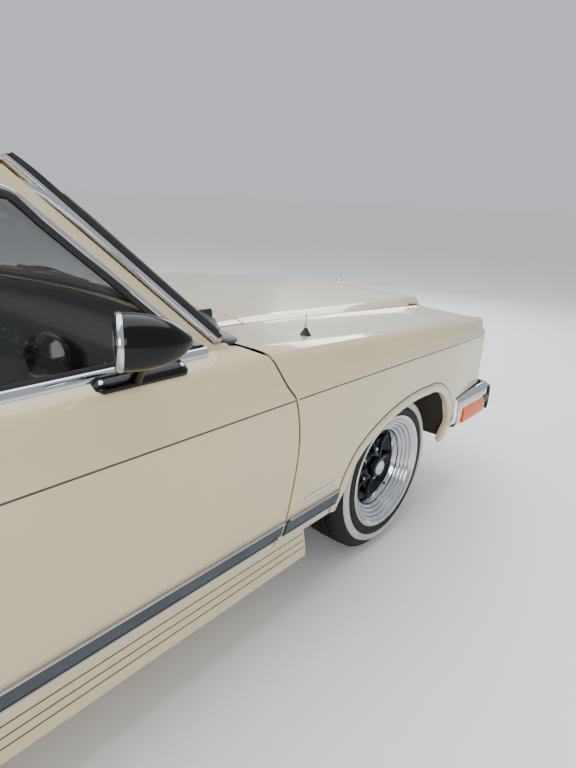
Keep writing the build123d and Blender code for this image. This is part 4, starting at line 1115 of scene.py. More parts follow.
    @staticmethod
    def _arch_points(end: str, grow: float) -> list[tuple[float, float]]:
        """Outline a wheel opening in side view.

        Args:
            end: "front" or "rear".
            grow: Growth outwards.
        Returns:
            Pairs of x and z in order.
        """
        if end == "front":
            x, top, foot = 1.566, 0.610, 0.330
            arcs = (((x - 0.379, foot), (x - 0.342, foot + 0.112), (x - 0.232, top - 0.072)),
                    ((x - 0.232, top - 0.072), (x - 0.020, top - 0.006), (x + 0.176, top)),
                    ((x + 0.176, top), (x + 0.304, top - 0.028), (x + 0.378, top - 0.100)),
                    ((x + 0.378, top - 0.100), (x + 0.398, top - 0.158), (x + 0.390, foot + 0.060)))
        else:
            x, top, foot, half = -1.225, 0.585, 0.330, 0.385
            arcs = (((x - half, foot), (x - half * 0.9, foot + 0.116), (x - half * 0.62, top - 0.078)),
                    ((x - half * 0.62, top - 0.078), (x, top), (x + half * 0.62, top - 0.078)),
                    ((x + half * 0.62, top - 0.078), (x + half * 0.9, foot + 0.116), (x + half, foot)))
        points = []
        for start, middle, finish in arcs:
            points += arc_points(Vector(start), Vector(middle), Vector(finish), 12)[:-1]
        points.append(Vector(arcs[-1][2]))
        if end == "front":
            points.append(Vector((points[-1].x, 0.334)))
        out = []
        for i, here in enumerate(points):
            along = (points[min(len(points) - 1, i + 1)] - points[max(0, i - 1)]).normalized()
            out.append((here.x - along.y * grow, here.y + along.x * grow))
        return out

    def _arch_lip(self, end: str) -> None:
        """Roll the lip round one wheel opening.

        Args:
            end: "front" or "rear".
        """
        panel = "fender" if end == "front" else "quarter"
        path, outs = [], []
        for x, z in self._arch_points(end, 0.021):
            hit = self.skins[panel].side(x, max(z, 0.331), self.side)
            if hit is None or abs(hit[0].y) < 0.86:
                continue
            path.append(Vector((x, hit[0].y, max(z, 0.331))))
            outs.append(Vector((0, self.side, 0)))
        bm = bmesh.new()
        sweep(bm, path, outs, [(-0.021, -0.018), (-0.022, 0.000), (-0.020, 0.0035), (-0.015, 0.0062), (-0.007, 0.0078),
                               (0.002, 0.0074), (0.010, 0.0050), (0.015, 0.0015), (0.017, -0.002)])
        body = self.bodies[panel]
        piece(f"arch_lip_{end}_{self.side_name}", bm, PAINT, body, 50)
        bm = bmesh.new()
        sweep(bm, path, outs, [(0.0155, -0.001), (0.0155, 0.0022), (0.0190, 0.0012), (0.0190, -0.001)])
        piece(f"arch_stripe_{end}_{self.side_name}", bm, DARK_STRIPE, body)

    def _belt(self) -> None:
        """Bright mouldings under the side windows, each with a rubber seal just inboard of it."""
        for door in ("front", "rear"):
            body = f"{door}_door_{self.side_name}"
            low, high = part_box(f"glass_{door}_{self.side_name}")
            xs = span(low[0] - (0.028 if door == "front" else 0.05), high[0] + (0.052 if door == "front" else 0.025),
                      0.04)
            xs = [max(-0.86 if door == "rear" else -0.177, min(x, 0.742 if door == "front" else -0.193)) for x in xs]
            path = [Vector((x, self.side * 0.8385, 0.9555)) for x in sorted(set(xs))]
            outs = [Vector((0, self.side * 0.94, 0.34))] * len(path)
            bm = bmesh.new()
            sweep(bm, path, outs, [(-0.012, -0.004), (-0.012, 0.003), (-0.008, 0.0065), (0.0, 0.0078), (0.008, 0.0065),
                                   (0.012, 0.003), (0.012, -0.004)])
            piece(f"belt_moulding_{door}_{self.side_name}", bm, CHROME, body, 40)
            bm = bmesh.new()
            path = [p + Vector((0, -self.side * 0.014, 0.010)) for p in path]
            sweep(bm, path, outs, [(-0.006, -0.004), (-0.006, 0.002), (0.004, 0.003), (0.006, -0.004)])
            piece(f"belt_seal_{door}_{self.side_name}", bm, RUBBER, body)

    def _handles(self) -> None:
        """Pull handles with thumb buttons, and the key locks."""
        for door, x, panel in (("front", -0.100, "front_door"), ("rear", -0.775, "rear_door")):
            body = self.bodies[panel]
            hit = self.skins[panel].side(x, 0.842, self.side)
            if hit is None:
                continue
            spot, out = hit
            bm = bmesh.new()
            path = [spot + Vector((dx, 0, 0)) + out * lift for dx, lift in (
                (-0.082, 0.001), (-0.080, 0.010), (-0.070, 0.020), (-0.045, 0.0245), (0.0, 0.0255), (0.045, 0.0245),
                (0.062, 0.022), (0.070, 0.012), (0.072, 0.001))]
            sweep(bm, path, [out] * len(path), [(-0.009, -0.003), (-0.009, 0.002), (-0.005, 0.0045), (0.005, 0.0045),
                                                (0.009, 0.002), (0.009, -0.003)])
            piece(f"door_handle_{door}_{self.side_name}", bm, CHROME, body, 50)
            bm = bmesh.new()
            turned_knob(bm, spot + Vector((0.052, 0, 0)) + out * 0.002, out,
                        [(0.0125, 0), (0.0125, 0.004), (0.0095, 0.006), (0.0085, 0.022), (0.006, 0.024)], 24)
            piece(f"handle_button_{door}_{self.side_name}", bm, CHROME, body)
            if door == "front":
                lock = self.skins[panel].side(x, 0.775, self.side)
                bm = bmesh.new()
                turned_knob(bm, lock[0], lock[1], [(0.014, -0.001), (0.014, 0.0025), (0.012, 0.004), (0.0085, 0.0045),
                                                   (0.0080, 0.0030), (0.002, 0.0030)], 28)
                piece(f"door_lock_{self.side_name}", bm, CHROME, body)


@dataclass
class Glazing:
    """Reveal mouldings and rubber round the front and rear glass, and chrome frames round the side windows."""

    belt_z: float = 0.953
    pillar_foot_x: float = 0.733
    pillar_lean: float = 1.057
    finisher_low: float = 0.972
    finisher_top: float = 1.372
    window_low: float = 0.966
    window_top: float = 1.310
    window_tilt: float = 0.30

    def build(self) -> None:
        """Add every moulding."""
        self._screen("windshield", 1.0)
        self._screen("rear_window", -1.0)
        for side_name, side in (("right", RIGHT), ("left", LEFT)):
            self._side_frame("front", side_name, side)
            self._side_frame("rear", side_name, side)
            self._drip_rail(side_name, side)
            self._pillar_finisher(side_name, side)

    def _pillar_x(self, z: float) -> float:
        """Give the x of the door edge along the leaning front pillar at one height."""
        return self.pillar_foot_x - self.pillar_lean * (z - self.belt_z)

    def _pillar_finisher(self, side_name: str, side: float) -> None:
        """Lay the bright cover and the black rubber on one front pillar.

        Args:
            side_name: "right" or "left".
            side: -1 on the right, +1 on the left.
        """
        skin = PanelSkin(["body_shell"])
        rows = []
        for z in span(self.finisher_low, self.finisher_top, 0.014):
            share = (z - 0.962) / 0.380
            x_door = self._pillar_x(z) + 0.018
            door_side = skin.side(x_door, z, side)
            y_screen = side * (0.786 - 0.118 * share + 0.010)
            screen_side = skin.end(y_screen, z, 1.0)
            if door_side is None or screen_side is None or screen_side[0].x < x_door - 0.05:
                continue
            a, b = door_side[0], screen_side[0]
            out = Vector((0.64, side * 0.72, 0.27)).normalized()
            middle = skin.cast((a + b) / 2 + out * 0.15, -out)
            m = middle[0] if middle is not None and (middle[0] - (a + b) / 2).length < 0.05 else (a + b) / 2
            rows.append((a, m, b))
        for _ in range(3):
            rows = [rows[0]] + [tuple(rows[i - 1][k] * 0.25 + rows[i][k] * 0.5 + rows[i + 1][k] * 0.25
                                      for k in range(3))
                                for i in range(1, len(rows) - 1)] + [rows[-1]]
        side_out, front_out = Vector((0.15, side * 0.93, 0.3)), Vector((0.75, side * 0.35, 0.55))
        half = (side_out + front_out).normalized()
        bm = bmesh.new()
        rings = [[bm.verts.new(p) for p in (
            a - side_out * 0.004, a + side_out * 0.0045, a.lerp(m, 0.18) + side_out * 0.0075,
            a.lerp(m, 0.44) + side_out * 0.0080, a.lerp(m, 0.52) + side_out * 0.0050,
            a.lerp(m, 0.52) - side_out * 0.004)] for a, m, b in rows]
        ring_faces(bm, rings)
        bmesh.ops.recalc_face_normals(bm, faces=bm.faces)
        piece(f"pillar_finisher_{side_name}", bm, CHROME, "car", 50)
        bm = bmesh.new()
        rings = [[bm.verts.new(p) for p in (
            a.lerp(m, 0.48) - side_out * 0.004, a.lerp(m, 0.48) + side_out * 0.0060,
            a.lerp(m, 0.62) + side_out * 0.0105,
            a.lerp(m, 0.78) + side_out * 0.0080, m + half * 0.0110, m.lerp(b, 0.40) + front_out * 0.0088,
            b + front_out * 0.0085, b - front_out * 0.004)] for a, m, b in rows]
        ring_faces(bm, rings)
        bmesh.ops.recalc_face_normals(bm, faces=bm.faces)
        piece(f"pillar_rubber_{side_name}", bm, RUBBER, "car", 40)

    @staticmethod
    def edge_loop(node: str, sign: float, outline: list, radius: float, steps: int = 5) -> tuple[list, list]:
        """Follow the edge of a pane on its outer skin, with round corners.

        Args:
            node: CAD node.
            sign: +1 at the nose, -1 at the tail.
            outline: Corners as pairs of y and z.
            radius: Radius of the corners or tube.
            steps: Number of steps.
        Returns:
            Points and outward normals.
        """
        low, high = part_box(node)
        LOG.info("edge of %s, x %.3f to %.3f", node, low[0], high[0])
        skin = PanelSkin([node, "body_shell"])
        count = len(outline)
        points = []
        for i in range(count):
            prev, here, after = (Vector(outline[(i - 1) % count]), Vector(outline[i]), Vector(outline[(i + 1) % count]))
            a = (prev - here).normalized()
            b = (after - here).normalized()
            if a.dot(b) < -0.98:
                points.append(here)
                continue
            for k in range(steps + 1):
                t = k / steps
                p = (here + a * radius) * (1 - t) ** 2 + here * 2 * t * (1 - t) + (here + b * radius) * t * t
                points.append(p)
        dense = []
        for i in range(len(points)):
            p, q = points[i], points[(i + 1) % len(points)]
            n = max(1, int((q - p).length / 0.05))
            dense += [p.lerp(q, k / n) for k in range(n)]
        path, outs = [], []
        for p in dense:
            hit = skin.end(p.x, p.y, sign)
            if hit is None:
                continue
            path.append(hit[0])
            outs.append(hit[1])
        return path, outs

    def _screen(self, node: str, sign: float) -> None:
        """Frame the front or rear glass.

        Args:
            node: CAD node.
            sign: +1 at the nose, -1 at the tail.
        """
        if node == "windshield":
            inner = [(-0.778, 0.968), (0.778, 0.968), (0.662, 1.336), (0.0, 1.358), (-0.662, 1.336)]
            outer = [(-0.797, 0.962), (0.797, 0.962), (0.682, 1.351), (0.0, 1.374), (-0.682, 1.351)]
        else:
            inner = [(-0.744, 1.010), (0.744, 1.010), (0.646, 1.330), (0.0, 1.348), (-0.646, 1.330)]
            outer = [(-0.763, 0.998), (0.763, 0.998), (0.664, 1.346), (0.0, 1.364), (-0.664, 1.346)]
        parts = (("rubber", inner, 0.011, 0.010, RUBBER, "plastic"), ("chrome", outer, 0.0115, 0.008, CHROME, "chrome"))
        if node == "windshield":
            outline = [(p * 0.55 + q * 0.45, a * 0.55 + b * 0.45) for (p, a), (q, b) in zip(outer, inner)]
            parts = (("rubber", outline, 0.018, 0.016, RUBBER, "plastic"),)
        for part, outline, width, lift, finish, slot in parts:
            path, outs = self.edge_loop(node, sign, outline, 0.045)
            outs = smooth_vectors(outs, 4)
            path = smooth_vectors(path, 1)
            bm = bmesh.new()
            sweep(bm, path, outs, [(-width, -0.006), (-width, lift * 0.5), (-width * 0.6, lift), (width * 0.6, lift),
                                   (width, lift * 0.5), (width, -0.006)], closed=True)
            piece(f"{node}_{part}", bm, finish, "car", 50)

    def _side_frame(self, door: str, side_name: str, side: float) -> None:
        """Frame one side window with a chrome strip and a black channel, on its door.

        Args:
            door: "front" or "rear".
            side_name: "right" or "left".
            side: -1 on the right, +1 on the left.
        """
        low, top = self.window_low, self.window_top
        if door == "front":
            corners = [(self._pillar_x(z) - 0.040 * 1.455, z) for z in (low, top)] + [(-0.141, top), (-0.141, low)]
        else:
            corners = [(-0.229, low), (-0.229, top), (-0.580, top), (-0.833, low)]
        for part, grow, width, lift, finish, slot in (("channel", -0.004, 0.007, 0.004, RUBBER, "plastic"),
                                                      ("chrome", 0.0085, 0.0058, 0.0045, CHROME, "chrome")):
            path, outs = [], []
            middle = Vector((sum(c[0] for c in corners) / 4, sum(c[1] for c in corners) / 4))
            skin = PanelSkin([f"door_{door}_{side_name}"])
            loop = round_corners([Vector(c) for c in corners], 0.024 + grow, grow)
            for p in loop:
                y = 0.838 - self.window_tilt * (p.y - self.belt_z)
                hit = skin.side(p.x + (p.x - middle.x) * 0.02, p.y + (p.y - middle.y) * 0.02, side)
                path.append(Vector((p.x, side * y, p.y)) if hit is None
                            else Vector((p.x, hit[0].y, p.y)))
                outs.append(Vector((0, side * 0.958, 0.287)))
            path = settle(path)
            bm = bmesh.new()
            sweep(bm, path, outs, [(-width, -0.006), (-width, lift * 0.5), (-width * 0.5, lift), (width * 0.5, lift),
                                   (width, lift * 0.5), (width, -0.006)], closed=True)
            name = f"window_{part}_{door}_{side_name}"
            piece(name, bm, finish, f"{door}_door_{side_name}", 50)

    def _drip_rail(self, side_name: str, side: float) -> None:
        """Lay the bright gutter over the doors of one side.

        Args:
            side_name: "right" or "left".
            side: -1 on the right, +1 on the left.
        """
        skin = PanelSkin(["body_shell"])
        path, outs = [], []
        stations = [(0.733 - 1.057 * (z - 0.953) + 0.014, z) for z in (0.985, 1.05, 1.12, 1.19, 1.25, 1.31, 1.34)]
        stations += [(x, 1.3635) for x in span(0.29, -0.62, 0.05)]
        stations += [(-0.660 - 0.235 * (1.356 - z) / 0.403, z) for z in (1.35, 1.30, 1.25, 1.19, 1.14, 1.09, 1.04,
                                                                         0.99)]
        for x, z in stations:
            hit = skin.side(x, z, side)
            if hit is None or abs(hit[0].y) < 0.6:
                continue
            path.append(hit[0])
            outs.append(Vector((0, side * 0.93, 0.36)))
        outs = smooth_vectors(outs, 2, False)
        path = smooth_vectors(path, 2, False)
        bm = bmesh.new()
        sweep(bm, path, outs, [(-0.0075, -0.004), (-0.0085, 0.006), (-0.0060, 0.0115), (0.0, 0.0128), (0.0045, 0.010),
                               (0.0060, 0.004), (0.0060, -0.004)])
        piece(f"drip_rail_{side_name}", bm, CHROME, "car", 50)


def smooth_vectors(values: list, rounds: int, closed: bool = True) -> list:
    """Average each vector with its neighbours a few times.

    Args:
        values: Vectors in order.
        rounds: Number of passes.
        closed: Whether the path comes back to its start.
    Returns:
        The smoothed vectors.
    """
    size = len(values)
    for _ in range(rounds):
        fresh = []
        for i in range(size):
            if not closed and i in (0, size - 1):
                fresh.append(values[i])
                continue
            fresh.append(values[i - 1] * 0.25 + values[i] * 0.5 + values[(i + 1) % size] * 0.25)
        values = fresh
    return values


def round_corners(points: list, radius: float, grow: float, steps: int = 5, gap: float = 0.05) -> list:
    """Round the corners of a closed outline and grow it from its middle.

    Args:
        points: Corners in order.
        radius: Radius of the corners or tube.
        grow: Growth outwards.
        steps: Number of steps.
        gap: Greatest distance between points.
    Returns:
        Points of the new outline.
    """
    count = len(points)
    area = sum(points[i].x * points[(i + 1) % count].y - points[(i + 1) % count].x * points[i].y for i in range(count))
    turn = 1.0 if area > 0 else -1.0
    moved = []
    for i in range(count):
        a = (points[i] - points[i - 1]).normalized()
        b = (points[(i + 1) % count] - points[i]).normalized()
        na, nb = Vector((a.y, -a.x)) * turn, Vector((b.y, -b.x)) * turn
        moved.append(points[i] + (na + nb) * (grow / max(0.3, 1 + na.dot(nb))))
    out = []
    for i in range(count):
        here = moved[i]
        a = (moved[i - 1] - here).normalized()
        b = (moved[(i + 1) % count] - here).normalized()
        for k in range(steps + 1):
            t = k / steps
            out.append((here + a * radius) * (1 - t) ** 2 + here * 2 * t * (1 - t) + (here + b * radius) * t * t)
    dense = []
    for i in range(len(out)):
        p, q = out[i], out[(i + 1) % len(out)]
        n = max(1, int((q - p).length / gap))
        dense += [p.lerp(q, k / n) for k in range(n)]
    return dense


def settle(path: list) -> list:
    """Bring a point that stands off from both its neighbours in y back between them.

    Args:
        path: Points of a closed loop in order.
    Returns:
        The same loop, settled.
    """
    size = len(path)
    for i in range(size):
        a, b = path[i - 1], path[(i + 1) % size]
        middle = (a.y + b.y) / 2
        if abs(path[i].y - middle) > 0.012:
            path[i] = Vector((path[i].x, middle, path[i].z))
    return path


# ---------------------------------------------------------------- outside fittings
@dataclass
class Mirror:
    """Black bullet mirror with a bright rear rim on a black foot plate with two screws."""

    side_name: str
    rear: tuple = (0.3720, 0.9400, 1.0510)
    way: tuple = (0.880, 0.474, -0.030)
    length: float = 0.146
    plate_x: tuple = (0.368, 0.603)
    plate_y: float = 0.8560
    screw_x: tuple = (0.382, 0.589)

    def __post_init__(self) -> None:
        """Choose the side and the door that carries the mirror."""
        self.side = RIGHT if self.side_name == "right" else LEFT
        self.body = "front_door_" + self.side_name

    def _place(self, point: Vector) -> Vector:
        """Put a point of the left mirror on this side."""
        return Vector((point.x, point.y * self.side, point.z))

    def build(self) -> None:
        """Build the housing, rim, glass, stem, plate and screws."""
        rear, way = self._place(Vector(self.rear)), self._place(Vector(self.way))
        bm = bmesh.new()
        curve = [(0.0490, 0.05), (0.0520, 0.025), (0.0552, 0.025), (0.0566, 0.06), (0.0567, 0.15), (0.0556, 0.28),
                 (0.0528, 0.43), (0.0478, 0.58), (0.0405, 0.71), (0.0315, 0.82), (0.0212, 0.91), (0.0105, 0.975),
                 (0.0025, 1.0)]
        turned_knob(bm, rear, way, [(r, h * self.length) for r, h in curve], 48)
        tube(bm, [self._place(Vector(p)) for p in ((0.462, 0.864, 0.938), (0.458, 0.888, 0.962), (0.450, 0.918, 0.990),
                                                   (0.440, 0.946, 1.016))], [0.0150, 0.0125, 0.0125, 0.0150], 16)
        shell = piece(f"mirror_housing_{self.side_name}", bm, BLACK_GLOSS, self.body, 45)
        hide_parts(f"mirror_{self.side_name}")
        bm = bmesh.new()
        turned_knob(bm, rear, way, [(0.0500, 0.0012), (0.0522, -0.0016), (0.0556, -0.0004), (0.0576, 0.0030),
                                    (0.0578, 0.0080), (0.0570, 0.0112), (0.0545, 0.0110), (0.0500, 0.0060)], 64)
        piece(f"mirror_rim_{self.side_name}", bm, CHROME, self.body, 70)
        bm = bmesh.new()
        turned_knob(bm, rear, way, [(0.0504, 0.0054), (0.0504, 0.0030), (0.0300, 0.0020), (0.0100, 0.0016),
                                    (0.0005, 0.0015)], 48)
        piece(f"mirror_glass_{self.side_name}", bm, POLISHED, self.body, 60)
        self._plate()

    def _plate(self) -> None:
        """Build the foot plate on the door, with its two screws."""
        skin = PanelSkin([f"door_front_{self.side_name}"])
        bm = bmesh.new()
        rings = []
        for x in span(*self.plate_x, 0.012):
            end = min(1.0, min(x - self.plate_x[0] + 0.0005, self.plate_x[1] + 0.0005 - x) / 0.014 + 0.3)
            edge = 0.0185 * math.sin(end * math.pi / 2)
            ring = []
            for a, lift in ((-1, 0.0), (-1, 0.006), (-0.86, 0.0095), (0, 0.0105), (0.86, 0.0095), (1, 0.006), (1, 0.0)):
                y = self.side * (self.plate_y + a * edge)
                hit = skin.top(x, y)
                base = hit[0] if hit is not None else Vector((x, y, 0.94))
                normal = Vector((0, self.side * 0.55, 0.83))
                ring.append(bm.verts.new(base + normal * (lift * end)))
            rings.append(ring)
        ring_faces(bm, rings)
        piece(f"mirror_foot_{self.side_name}", bm, BLACK_GLOSS, self.body, 50)
        for x in self.screw_x:
            hit = skin.top(x, self.side * self.plate_y)
            bm = bmesh.new()
            way = Vector((0, self.side * 0.55, 0.83))
            turned_knob(bm, hit[0] + way * 0.008, way, [(0.0062, 0), (0.0062, 0.0025), (0.0045, 0.0044),
                                                        (0.0012, 0.0048)], 16)
            piece(f"mirror_screw_{'rear' if x < 0.45 else 'front'}_{self.side_name}", bm, CHROME, self.body)


@dataclass
class Bumper:
    """A rounded bright channel that wraps the end, with a black rubbing strip and two guards."""

    front: bool
    reach: float = 2.511
    corner_x: float = 2.441
    half_width: float = 0.941
    front_wrap: float = 2.048
    rear_wrap: float = -1.800
    inset: float = 0.006
    middle_z: float = 0.445
    guard_x: float = 2.4785
    guard_y: float = 0.33

    def __post_init__(self) -> None:
        """Name the end of the car."""
        self.name = "front" if self.front else "rear"
        self.sign = 1.0 if self.front else -1.0

    def _outline(self, inset: float, steps: int = 14) -> list[Vector]:
        """Give the plan line of the bar, from the right wing round to the left.

        Args:
            inset: Distance inside the outer face.
            steps: Number of steps.
        Returns:
            Points in order.
        """
        wrap = self.front_wrap if self.front else self.rear_wrap
        s, end, corner, side = self.sign, self.reach - inset, self.corner_x, self.half_width - inset
        round_x, round_y = corner - 0.016 - inset * 0.7, 0.911 - inset * 0.7
        b = Vector((s * (corner - 0.060), -side))
        c = Vector((s * (corner - inset), -0.851))
        d = Vector((s * end, 0.0))
        half = [Vector((x, -side)) for x in span(wrap, b.x, 0.05)][:-1]
        half += arc_points(b, Vector((s * round_x, -round_y)), c, steps)[:-1]
        half += arc_points(c, Vector((s * (end - 0.017), -0.430)), d, 12)
        return half + [Vector((p.x, -p.y)) for p in reversed(half[:-1])]

    def _sweep(self, name: str, inset: float, z: float, profile: list, finish: Finish,
               keep: Callable[[Vector], bool] | None = None) -> bpy.types.Object:
        """Sweep a section along the plan line of the bar.

        Args:
            name: Name of the piece.
            inset: Distance inside the outer face.
            z: Height above the ground.
            profile: Section as pairs of height and lift.
            finish: Finish to show.
            keep: Test of the points to keep.
        Returns:
            The piece.
        """
        line = self._outline(inset)
        if keep is not None:
            line = [p for p in line if keep(p)]
        path = [Vector((p.x, p.y, z)) for p in line]
        outs = []
        for i in range(len(path)):
            along = (path[min(i + 1, len(path) - 1)] - path[max(i - 1, 0)]).normalized()
            out = Vector((along.y, -along.x, 0))
            if out.dot(Vector((path[i].x * 0.3, path[i].y, 0))) < 0 and abs(path[i].y) > 0.3:
                out = -out
            elif abs(path[i].y) <= 0.3 and out.x * self.sign < 0:
                out = -out
            outs.append(out)
        bm = bmesh.new()
        sweep(bm, path, outs, profile)
        return piece(name, bm, finish, "car", 42)

    def build(self) -> None:
        """Build the bar, the strip and the guards."""
        face = [(-0.0690, -0.030), (-0.0675, -0.014), (-0.0600, -0.0050), (-0.0460, -0.0012), (-0.0200, 0.0),
                (0.0200, 0.0), (0.0460, -0.0012), (0.0600, -0.0050), (0.0675, -0.014), (0.0690, -0.034)]
        back = [(0.0650, -0.034), (0.0640, -0.017), (0.0575, -0.0090), (0.0, -0.0050), (-0.0575, -0.0090),
                (-0.0640, -0.017), (-0.0650, -0.030)]
        bar = self._sweep(f"bumper_bar_{self.name}", self.inset, self.middle_z, face + back, CHROME)
        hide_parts(f"{self.name}_bumper")
        strip = self._sweep(f"bumper_strip_{self.name}", self.inset, self.middle_z + 0.004,
                            [(-0.019, -0.002), (-0.017, 0.0042), (0.0, 0.0052), (0.017, 0.0042), (0.019, -0.002)],
                            BLACK_SATIN, lambda p: abs(p.x) > 2.28)
        for side_name, side in (("right", RIGHT), ("left", LEFT)):
            corner = self._sweep(f"bumper_corner_{self.name}_{side_name}", self.inset, self.middle_z,
                                 [(-0.058, -0.004), (-0.056, 0.0032), (-0.030, 0.0062), (0.030, 0.0062),
                                  (0.056, 0.0032),
                                  (0.058, -0.004)], BLACK_SATIN, lambda p: p.y * side > 0.845 and abs(p.x) > 2.372)
            marker = self._sweep(f"bumper_marker_{self.name}_{side_name}", self.inset, self.middle_z - 0.021,
                                 [(-0.036, -0.003), (-0.034, 0.0034), (-0.018, 0.0056), (0.018, 0.0056),
                                  (0.034, 0.0034),
                                  (0.036, -0.003)], AMBER_LENS if self.front else RED_LENS,
                                 lambda p: p.y * side > 0.9 and 2.08 < abs(p.x) < 2.345)
            bm = bmesh.new()
            x, y = self.sign * self.guard_x, side * self.guard_y
            rounded_box(bm, (x - 0.022, y - 0.032, 0.383), (x + 0.022, y + 0.032, 0.5135), 0.012, 4)
            piece(f"bumper_guard_{self.name}_{side_name}", bm, CHROME, "car")
            bm = bmesh.new()
            rounded_box(bm, (x + self.sign * 0.0215 - 0.004, y - 0.020, 0.400),
                        (x + self.sign * 0.0215 + 0.004, y + 0.020, 0.502), 0.004, 3)
            piece(f"guard_pad_{self.name}_{side_name}", bm, BLACK_SATIN, "car")


def end_patch(bm: bmesh.types.BMesh, skin: PanelSkin, sign: float, y_range: tuple, z_range: tuple, lifts: tuple,
              columns: int = 8, rows: int = 3) -> None:
    """A slab that follows the nose or tail between two heights and two widths.

    Args:
        bm: Mesh to add to.
        skin: Panels to follow.
        sign: 1 for the nose, -1 for the tail.
        y_range: Start and end across the car.
        z_range: Start and end height.
        lifts: How far the back and the front of the slab stand off the panel.
        columns: Cells across.
        rows: Cells up.
    """
    layers = []
    for lift in lifts:
        grid = []
        for k in range(rows + 1):
            z = z_range[0] + (z_range[1] - z_range[0]) * k / rows
            line = []
            for i in range(columns + 1):
                y = y_range[0] + (y_range[1] - y_range[0]) * i / columns
                hit = skin.end(y, z, sign)
                x = hit[0].x if hit is not None else sign * 2.40
                line.append(bm.verts.new((x + sign * lift, y, z)))
            grid.append(line)
        layers.append(grid)
    back, front = layers
    for grid in (back, front):
        for k in range(rows):
            for i in range(columns):
                bm.faces.new((grid[k][i], grid[k][i + 1], grid[k + 1][i + 1], grid[k + 1][i]))
    edge_b = ([back[0][i] for i in range(columns + 1)] + [back[k][columns] for k in range(1, rows + 1)]
              + [back[rows][i] for i in range(columns - 1, -1, -1)] + [back[k][0] for k in range(rows - 1, 0, -1)])
    edge_f = ([front[0][i] for i in range(columns + 1)] + [front[k][columns] for k in range(1, rows + 1)]
              + [front[rows][i] for i in range(columns - 1, -1, -1)] + [front[k][0] for k in range(rows - 1, 0, -1)])
    for i in range(len(edge_b)):
        j = (i + 1) % len(edge_b)
        bm.faces.new((edge_b[i], edge_b[j], edge_f[j], edge_f[i]))


